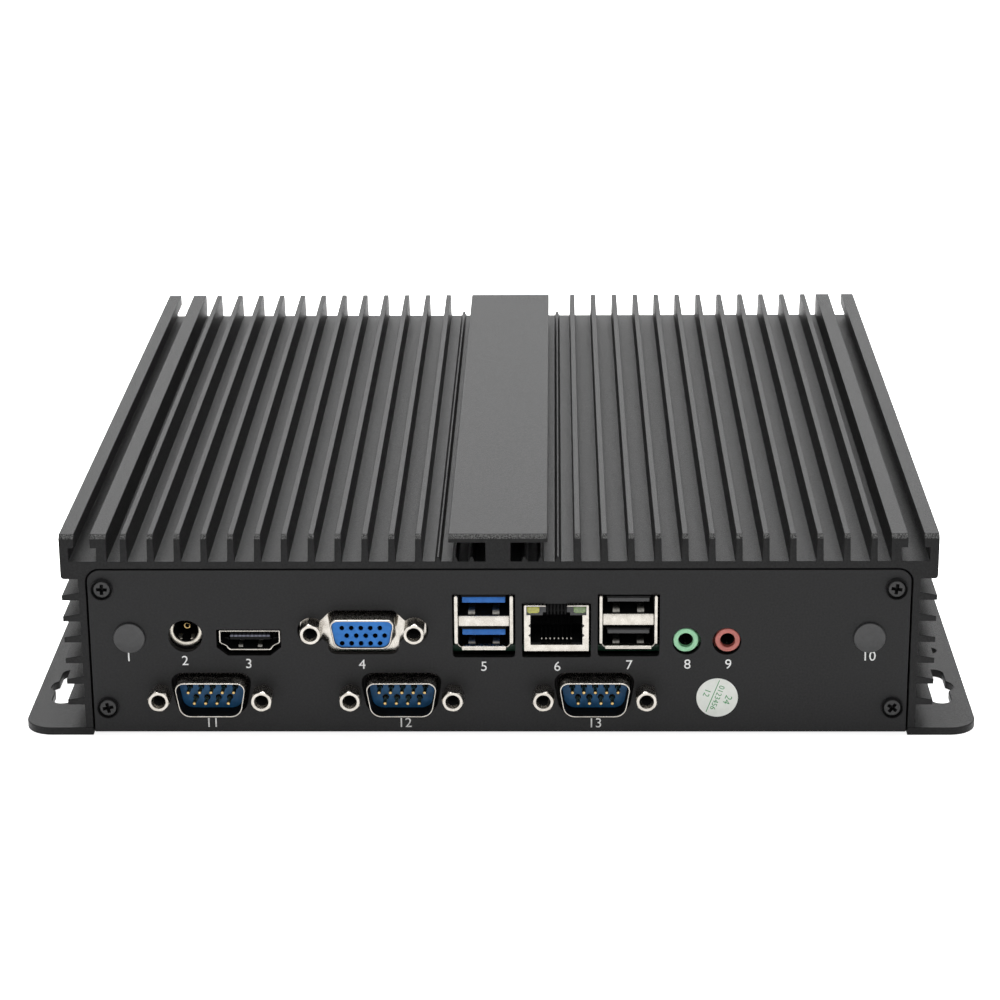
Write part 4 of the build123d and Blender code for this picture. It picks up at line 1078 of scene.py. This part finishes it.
def makeDigitalPort(shape):
    x, z = shape["spot"]
    width, high = shape["top"][0], shape["high"]
    back, face, wall = shape["back"], shape["front"], shape["wall"]
    shell = startStepped("digital_port_case", (x, z), shape["top"], shape["steps"], high, back)
    steps = [(0.0, back), (0.0, face + 0.16), (-0.05, face + 0.04), (-0.13, face), (0.13 - wall, face)]
    grow(shape["spot"], (width, high), steps + [(0.04 - wall, face + 0.06), (-wall, face + 0.2), (-wall, back - 0.6)])
    endEditing(shell, 25)
    floor = z - high / 2 + wall
    smoothPiece(shell, 30)
    settle(shell, "nickel", "nickel", ["digital_port_shell"])
    # painted shade inside the shell
    paintShade(shell, lookingIn(shape["spot"], face + 0.22, back - 0.7))
    underPanel = (z + high / 2 - wall) * mm  # the panel's edge keeps the light off this rim
    paintShade(shell, lambda part: part.center.z > underPanel and part.normal.y < -0.9, "paintedShadeNickel")
    springs = [leafSpring("spring", (x + dx, floor), 1.05, shape["springPath"]) for dx in shape["springs"]]
    # springs in the darker nickel: painted shade
    settle(joinPieces(springs, "digital_port_springs"), "paintedShadeNickel", "nickel")
    (x0, y0, z0), (x1, y1, z1) = shape["tongue"]
    middle, tall = ((x0 + x1) / 2, (z0 + z1) / 2), z1 - z0
    tongue = startPlate("digital_port_blade", middle, (x1 - x0, tall), y1)
    grow(middle, (x1 - x0, tall), [(0.0, y1), (0.0, y0 + shape["nose"])])
    bpy.ops.mesh.extrude_region_move(TRANSFORM_OT_translate={"value": (0, -shape["nose"] * mm, 0)})
    slope = 1 - shape["nose"] / tall
    bpy.ops.transform.resize(value=(0.985, 1, slope), center_override=(middle[0] * mm, 0, z0 * mm))
    endEditing(tongue)
    softenEdges(tongue, 0.06)
    # the tongue in near black: painted shade
    settle(tongue, "paintedShadeBlack", "black_moulding", ["digital_port_tongue"])
    count, pitch, wide = shape["strips"]
    first = x - (count - 1) / 2 * pitch
    nose = shape["nose"]
    path = [(y0 - 0.03, z1 - nose), (y0 + nose - 0.03, z1 + 0.03), (y1 - 1, z1 + 0.03)]
    strip = leafSpring("strip_model", (first, 0), wide, path, 0.12)
    others = [copyPiece(strip, "strip", (i * pitch, 0, 0)) for i in range(1, count)]
    strips = joinPieces([strip, *others], "digital_port_contacts")
    settle(strips, "dimBlueTin", "nickel")
    # a near-black wall at the back and strips below the opening: painted shade
    backWall = blockPiece("digital_port_back", (x - 6.6, y1 - 0.6, z - 1.2), (x + 6.6, y1 - 0.1, z + 2.1), 0.1)
    shade_apron = [blockPiece("shade_apron", (x - 7.9, 3.35, 20.9), (x + 7.9, 3.85, 22.5), 0.1)]
    for side in (-1, 1):
        edges = sideSpan(x, side, 5.4, 7.9)
        shade_apron.append(blockPiece("shade_apron", (edges[0], 3.35, 20.9), (edges[1], 3.85, 24.6), 0.1))
    backWall = joinPieces([backWall, *shade_apron], "digital_port_back")
    settle(backWall, "paintedShadeBlack", "black_moulding")


makeDigitalPort(digitalShape)
print("digital display port")

# stacked bus ports: folded case, flared lips, tongues, springs
busShape = {
    "ports": {
        "fast_bus": {
            "centre": -3.56,
            "finish": ("busBlueMoulding", "blue_moulding"),
            "tongue": (10.4, 1.45, (36.12, 27.78)),  # width, thickness, tops
            "lip": (7.14, 0.9),  # reach, width
            "bar": (12.3, 28.78, 31.42),
            "bottomLip": (10.75, 22.75, 23.85),
            "mouthFloors": (23.3, 31.4),
        },
        "plain_bus": {
            "centre": 31.38,
            "finish": ("charcoalMoulding", "black_moulding"),
            "tongue": (10.1, 1.0, (35.95, 27.7)),
            "lip": (7.02, 0.77),
            "bar": (12.3, 29.05, 31.95),
            "bottomLip": (11.25, 23.05, 23.98),
            "mouthFloors": (23.5, 31.95),
        },
    },
    "case": (13.0, 22.95, 36.65),
    "roofCut": (35.0, 5.0),  # the roof sheet starts further back than the walls
    "caseFront": 0.5,
    "back": 16.6,
    "wall": 0.18,
    "corner": 1.3,
    "lipEnds": (24.35, 36.85),
    "lipFront": -0.9,
    "barFront": -0.15,
    "seam": 0.16,
    "mouthTops": (28.6, 36.3),
    "tongueEnds": (0.3, 11.1),
    "springs": (-2.95, 2.95),
    "springWidth": 1.65,
    "springPath": [(0.9, 0.05), (1.15, 0.55), (1.55, 1.0), (2.2, 1.25), (3.4, 1.2), (7.0, 0.3)],
}


def makeBusPort(name, port, shape):
    x = port["centre"]
    width, low, high = shape["case"]
    centre = (x, (low + high) / 2)
    size = (width, high - low)
    face, back, wall = shape["caseFront"], shape["back"], shape["wall"]
    case = startPlate(name + "_case", centre, size, back)
    roundCorners(shape["corner"], 5)
    steps = [(0.0, back), (0.0, face + 0.06), (-0.05, face), (0.05 - wall, face), (-wall, face + 0.06)]
    grow(centre, size, steps + [(-wall, 11.2)])
    endEditing(case)
    cutAbove, cutDepth = shape["roofCut"]
    cutWith(case, blockPiece("cut", (x - 9, -3, cutAbove), (x + 9, cutDepth, 38)))
    parts = [case]
    (reach, lipWidth), (lipLow, lipHigh), lipFace = port["lip"], shape["lipEnds"], shape["lipFront"]
    for side in (-1, 1):
        edges = sideSpan(x, side, reach, reach - lipWidth)
        lipSize = (lipWidth, lipHigh - lipLow)
        lipCentre = (sum(edges) / 2, (lipLow + lipHigh) / 2)
        lip = startPlate("lip", lipCentre, lipSize, 1.2)
        roundCorners(0.42 * lipWidth, 4)
        grow(lipCentre, lipSize, [(0.0, 1.2), (0.0, lipFace + 0.3), (-0.06, lipFace + 0.08), (-0.18, lipFace)])
        parts.append(endEditing(lip))
    barWidth, barLow, barHigh = port["bar"]
    parts.append(
        blockPiece("bar", (x - barWidth / 2, shape["barFront"], barLow), (x + barWidth / 2, 11.2, barHigh), 0.14)
    )
    lipWide, bottomLow, bottomHigh = port["bottomLip"]
    bottom = blockPiece("bottom", (x - lipWide / 2, lipFace, bottomLow), (x + lipWide / 2, 1.2, bottomHigh), 0.2, 3)
    seam = shape["seam"]
    low, high = (x - seam / 2, lipFace - 1, bottomLow - 1), (x + seam / 2, lipFace + 0.4, bottomHigh + 1)
    cutWith(bottom, blockPiece("seam", low, high))
    fold = 0.55 * bottomHigh + 0.45 * bottomLow
    crease = blockPiece("crease", (x - lipWide, lipFace - 1, fold - 0.05), (x + lipWide, lipFace + 0.12, fold + 0.05))
    cutWith(bottom, crease)
    parts.append(bottom)
    case = joinPieces(parts, name + "_case")
    smoothPiece(case, 32)
    settle(case, "nickel", "nickel", [name + "_shell"])
    # painted shade on the inner walls behind the front
    paintShade(case, lambda part: part.center.y > front + 0.7 * mm and abs(part.normal.y) < 0.5)
    springs = [
        leafSpring("spring", (x + offset, floor), shape["springWidth"], shape["springPath"])
        for floor in port["mouthFloors"]
        for offset in shape["springs"]
    ]
    # springs in the darker nickel: painted shade
    settle(joinPieces(springs, name + "_springs"), "paintedShadeNickel", "nickel")
    tongueWidth, thickness, tongueTops = port["tongue"]
    tongueFront, tongueBack = shape["tongueEnds"]
    # near-black blocks over the tongues and along the mouths' walls and backs: painted shade
    tongues, shade_blocks = [], []
    for top in tongueTops:
        corner = (x - tongueWidth / 2, tongueFront, top - thickness)
        tongues.append(blockPiece("tongue", corner, (x + tongueWidth / 2, tongueBack, top), 0.12))
        corner = (x - tongueWidth / 2 - 0.2, tongueFront + 0.14, top - 0.02)
        shade_blocks.append(blockPiece("shade_cover", corner, (x + tongueWidth / 2 + 0.2, tongueBack, top + 0.4)))
    blades = joinPieces(tongues, name + "_blades")
    settle(blades, *port["finish"], [name + "_tongues"])
    for floor, top in zip(port["mouthFloors"], shape["mouthTops"]):
        half = width / 2 - wall - 0.05
        shade_blocks.append(blockPiece("shade_block", (x - half, 9.6, floor - 0.1), (x + half, 11.0, top + 0.1), 0.1))
        for side in (-1, 1):
            edges = sideSpan(x, side, half, half - 0.25)
            shade_blocks.append(blockPiece("shade_block", (edges[0], 1.6, floor + 0.1), (edges[1], 9.7, top - 0.1), 0.08))
    settle(joinPieces(shade_blocks, name + "_liners"), "paintedShadeBlack", "black_moulding")


for name, port in busShape["ports"].items():
    makeBusPort(name, port, busShape)
print("bus ports")

# network port: frame with notches, ribbed housing, lamps, eight contact wires
networkShape = {
    "centre": 14.0,
    "frame": (15.7, 22.5, 34.4),
    "front": -0.9,
    "back": 20.1,
    "mouth": (12.6, 24.2, 32.0),
    "lampRow": (14.5, 31.9, 34.15),
    "topGap": 5.2,
    "notches": [29.15, 26.65],
    "notchReach": 0.5,
    "lamp": (3.0, 1.65),
    "lampSpots": [(-5.6, 33.2), (5.6, 33.2)],
    "ribs": (6, 0.86, 0.36),  # count, pitch, width
    "steps": (3.7, 6.25, 0.55),  # inner end, outer end and height of the steps on the mouth's floor
    "wires": (8, 1.02, 0.27),  # count, pitch, width
    "wirePath": [(2.3, 24.45), (2.45, 24.65), (6.5, 25.5), (11.6, 26.7)],
    "depth": 13.0,
}


def makeNetworkPort(shape):
    x = shape["centre"]
    width, low, high = shape["frame"]
    face, back = shape["front"], shape["back"]
    shield = blockPiece("network_port_frame", (x - width / 2, face, low), (x + width / 2, back, high), 0.16, 3)
    mouthWidth, floor, ceiling = shape["mouth"]
    rowWidth, rowLow, rowHigh = shape["lampRow"]
    cuts = [
        ((x - mouthWidth / 2, face - 1, floor), (x + mouthWidth / 2, face + 1.2, ceiling)),
        ((x - rowWidth / 2, face - 1, rowLow), (x + rowWidth / 2, face + 1.2, rowHigh)),
        ((x - shape["topGap"] / 2, face - 1, rowLow), (x + shape["topGap"] / 2, face + 4.0, high + 1)),
        ((x - 7.4, face + 1.1, low + 0.3), (x + 7.4, back - 0.3, high - 0.3)),
    ]
    for corner, opposite in cuts:
        cutWith(shield, blockPiece("cut", corner, opposite))
    reach = shape["notchReach"]
    for height in shape["notches"]:
        for side in (-1, 1):
            spot = (x + side * mouthWidth / 2, height)
            cutWith(shield, turnedPiece("notch", spot, [(reach, face + 2), (reach, face - 1)], 4))
    smoothPiece(shield, 30)
    settle(shield, "nickel", "nickel", ["network_port_shield"])

    housing = blockPiece("network_port_body", (x - 7.38, -0.72, 22.8), (x + 7.38, 19.7, 34.1), 0.1)
    depth = shape["depth"]
    cutWith(housing, blockPiece("cut", (x - 6.28, -3, 24.05), (x + 6.28, depth, 31.85)))
    cutWith(housing, blockPiece("cut", (x - 2.55, -3, 31.6), (x + 2.55, 6, 35.0)))
    cutWith(housing, blockPiece("cut", (x - 3.3, -3, 31.6), (x + 3.3, 6, 32.6)))
    count, pitch, wide = shape["ribs"]
    parts = []
    for i in range(count):
        middle = x + (i - (count - 1) / 2) * pitch
        parts.append(blockPiece("rib", (middle - wide / 2, 1.2, 31.3), (middle + wide / 2, 6.2, 34.3), 0.06))
    inner, outer, rise = shape["steps"]
    for side in (-1, 1):
        edges = sideSpan(x, side, inner, outer)
        parts.append(blockPiece("step", (edges[0], -0.6, 23.9), (edges[1], 6, 24.1 + rise), 0.06))
    parts.append(blockPiece("ribWall", (x - 2.6, 3.0, 31.4), (x + 2.6, 6.3, 34.35), 0.06))
    # ribs, steps and the wall behind them in near black: painted shade
    settle(joinPieces(parts, "network_port_ribs"), "paintedShadeBlack", "black_moulding")
    smoothPiece(housing, 30)
    settle(housing, "charcoalMoulding", "black_moulding", ["network_port_housing"])
    # near-black walls inside the mouth: painted shade
    shade_lining = []
    for side in (-1, 1):
        edges = sideSpan(x, side, 6.3, 6.2)
        shade_lining.append(blockPiece("wall", (edges[0], -0.5, 24.1), (edges[1], depth, 31.8)))
    shade_lining.append(blockPiece("wall", (x - 6.2, -0.7, 23.9), (x + 6.2, depth, 24.08)))
    shade_lining.append(blockPiece("wall", (x - 6.2, depth - 0.2, 24.1), (x + 6.2, depth, 31.8)))
    settle(joinPieces(shade_lining, "network_port_shade_lining"), "paintedShadeBlack", "black_moulding")

    for (dx, z), finish in zip(shape["lampSpots"], ("amberLens", "greenLens")):
        spot = (x + dx, z)
        lamp = startPlate("network_lamp_" + finish[:5], spot, shape["lamp"], 3.0)
        pick(lamp, "VERT", lambda point, level=z: point.co.z < level * mm)
        roundCorners(0.62, 5)
        grow(spot, shape["lamp"], [(0.0, 3.0), (0.0, -0.78), (-0.08, -0.9), (-0.3, -0.97)])
        endEditing(lamp, 50)
        settle(lamp, finish, "clear_lens", ["network_port_lights"])
    count, pitch, wide = shape["wires"]
    first = x - (count - 1) / 2 * pitch
    path = [(y, z - 24.0) for y, z in shape["wirePath"]]
    wire = leafSpring("wire_model", (first, 24.0), wide, path, 0.3)
    others = [copyPiece(wire, "wire", (i * pitch, 0, 0)) for i in range(1, count)]
    wires = joinPieces([wire, *others], "network_port_wires")
    settle(wires, "nickel", "gold", ["network_port_contacts"])
    # painted shade on the wires behind their front ends
    paintShade(wires, lambda face: face.center.y > front + 2.5 * mm)


makeNetworkPort(networkShape)
print("network port")

# sound jacks: coloured barrel with a funnel, a contact leaf inside, and a body behind the panel
soundShape = {
    "jacks": {
        # name: (spot, finish, slot, node)
        "sound_out_barrel": ((45.3, 24.95), "mintMoulding", "green_moulding", "sound_out_jack"),
        "microphone_barrel": ((55.4, 24.95), "coralMoulding", "pink_moulding", "microphone_jack"),
    },
    "profile": [(3.05, 12.4), (3.05, 0.5), (2.99, 0.32), (2.86, 0.22), (2.7, 0.2), (1.98, 0.2)]
    + [(1.87, 0.25), (1.8, 0.38), (1.76, 0.6), (1.74, 12.0)],
    "body": (4.0, 3.4, 15.1, 21.95, 28.9),  # half width, front, back, bottom, top
    "shade_lining": [(1.735, 11.9), (1.735, 1.5), (1.69, 1.5), (1.66, 11.6)],
    "leafPath": [(2.6, 0.0), (3.2, 0.25), (4.2, 0.4), (6.5, 0.1)],
}


def makeSoundJack(name, jack, shape):
    (x, z), finish, slot, node = jack
    barrel = turnedPiece(name, (x, z), shape["profile"], 64)
    half, face, back, low, high = shape["body"]
    body = blockPiece("body", (x - half, face, low), (x + half, back, high), 0.3)
    cutWith(body, turnedPiece("bore", (x, z), [(1.74, 12.0), (1.74, face - 1)], 64))
    barrel = joinPieces([barrel, body], name)
    smoothPiece(barrel, 40)
    settle(barrel, finish, slot, [node])
    # contact leaf in the darker nickel, and a near-black lining in the bore: painted shade
    leaf = leafSpring(name.replace("barrel", "contact"), (x - 0.05, z - 1.62), 0.4, shape["leafPath"])
    settle(leaf, "paintedShadeNickel", "nickel")
    shade_lining = turnedPiece(name.replace("barrel", "shade_lining"), (x, z), shape["shade_lining"], 48)
    settle(shade_lining, "paintedShadeBlack", "black_moulding")


for name, jack in soundShape["jacks"].items():
    makeSoundJack(name, jack, soundShape)
print("sound jacks")

# rear: push button with a turned collar, and the status light
rearShape = {
    "button": (-78.0, 25.8),
    "collar": [(7.2, 0.0), (7.2, 0.9), (7.05, 1.2), (6.75, 1.4), (5.5, 1.4), (5.2, 1.3), (4.95, 1.0), (4.85, 0.4)]
    + [(4.85, -3.4)],
    "threadRadius": 6.0,
    "threadEnd": -12.0,
    "cap": [(4.6, -3.4), (4.6, 1.9), (4.5, 2.2), (4.25, 2.38), (3.9, 2.4), (3.5, 2.32), (3.3, 2.2), (2.4, 2.12)]
    + [(1.2, 2.08)],
    "light": (-64.0, 25.8),
    "bezel": [(1.6, -5.0), (1.6, 0.0), (2.1, 0.0), (2.1, 0.3), (2.0, 0.46), (1.85, 0.5), (1.5, 0.5), (1.4, 0.42)]
    + [(1.36, 0.1)],
    "lens": [(1.36, -1.0), (1.36, 0.1), (1.25, 0.28), (0.95, 0.42), (0.5, 0.5), (0.2, 0.52)],
}


def rearProfile(profile):
    # heights over the rear panel become y, the part's back end first
    depth = (back - front) / mm
    return [(radius, depth + height) for radius, height in profile]


def makeRear(shape):
    inner = [(shape["threadRadius"] - 0.6, shape["threadEnd"]), (shape["threadRadius"], shape["threadEnd"] + 0.5)]
    inner += [(shape["threadRadius"], -2.0), (shape["threadRadius"], 0.0)]
    collar = turnedPiece("power_button_collar", shape["button"], rearProfile(inner + shape["collar"]), 64)
    settle(collar, "nickel", "nickel", ["power_button_body"])
    cap = turnedPiece("power_button_face", shape["button"], rearProfile(shape["cap"]), 64)
    settle(cap, "brushedCap", "nickel", ["power_button_cap"], "power_button")
    bezel = turnedPiece("status_light_bezel", shape["light"], rearProfile(shape["bezel"]), 40)
    settle(bezel, "nickel", "nickel", ["status_light"])
    lens = turnedPiece("status_light_lens", shape["light"], rearProfile(shape["lens"]), 32)
    settle(lens, "greenLens", "clear_lens", ["status_light"])


makeRear(rearShape)
print("push button and status light")

# white print: plain numbers under the ports, and a round sticker
printShape = {
    "height": 2.45,
    "thickness": 0.02,
    "stroke": 0.0,  # added to each side of a stroke
    "numbers": {
        "1": (-90.0, 20.8),
        "2": (-76.3, 19.8),
        "3": (-60.8, 19.0),
        "4": (-33.2, 18.8),
        "5": (-3.6, 18.25),
        "6": (14.2, 18.25),
        "7": (31.6, 18.6),
        "8": (45.75, 18.8),
        "9": (55.65, 18.8),
        "10": (89.6, 20.9),
        "11": (-70.3, 3.4),
        "12": (-23.1, 3.4),
        "13": (23.4, 3.3),
    },
    "sticker": ((53.1, 10.0), 5.05),
    "stickerTurn": 69.0,  # degrees
    "stickerLine": (8.9, 0.2, -1.15),  # length, thickness, distance from the middle
    "stickerNumbers": {
        # text: (along the line, across it, height)
        "12": (0.3, -2.75, 1.5),
        "0123456": (0.0, 0.05, 1.35),
        "24": (0.4, 2.6, 1.7),
    },
}


def printedNumber(text, spot, height, y):
    deselectAll()
    bpy.ops.object.text_add()
    number = bpy.context.object
    number.data.body = text
    number.data.align_x = "CENTER"
    number.data.align_y = "CENTER"
    number.data.size = height * mm / 0.7  # a digit is about 0.7 of the size
    number.data.extrude = printShape["thickness"] / 2 * mm
    number.data.offset = printShape["stroke"] * height / printShape["height"] * mm
    bpy.ops.object.convert(target="MESH")
    number = bpy.context.object
    number.data.transform(Matrix.Rotation(pi / 2, 4, "X"))
    low = min(corner.co.z for corner in number.data.vertices)
    high = max(corner.co.z for corner in number.data.vertices)
    number.data.transform(Matrix.Translation((spot[0] * mm, front + y * mm, spot[1] * mm - (low + high) / 2)))
    return number


def makePrint(shape):
    y = -shape["thickness"] / 2 - 0.005
    numbers = [printedNumber(text, spot, shape["height"], y) for text, spot in shape["numbers"].items()]
    settle(joinPieces(numbers, "panel_numbers"), "whitePrint", "white_moulding")
    spot, radius = shape["sticker"]
    sticker = turnedPiece("round_sticker", spot, [(radius, -0.005), (radius, -0.08), (radius - 0.06, -0.11)], 64)
    settle(sticker, "stickerPaper", "white_moulding")
    turn = radians(shape["stickerTurn"])
    length, thick, offset = shape["stickerLine"]
    line = startPlate("line", (offset, 0), (thick, length), -0.12)
    marks = [endEditing(line)]
    for text, (along, across, height) in shape["stickerNumbers"].items():
        mark = printedNumber(text, (0, 0), height, -0.12)
        mark.data.transform(Matrix.Rotation(pi / 2, 4, "Y"))
        mark.data.transform(Matrix.Translation((across * mm, 0, along * mm)))
        marks.append(mark)
    marks = joinPieces(marks, "sticker_print")
    marks.data.transform(Matrix.Rotation(pi / 2 - turn, 4, "Y"))
    marks.data.transform(Matrix.Translation((spot[0] * mm, 0, spot[1] * mm)))
    settle(marks, "greenPrint", "green_moulding")


makePrint(printShape)
print("numbers and sticker")
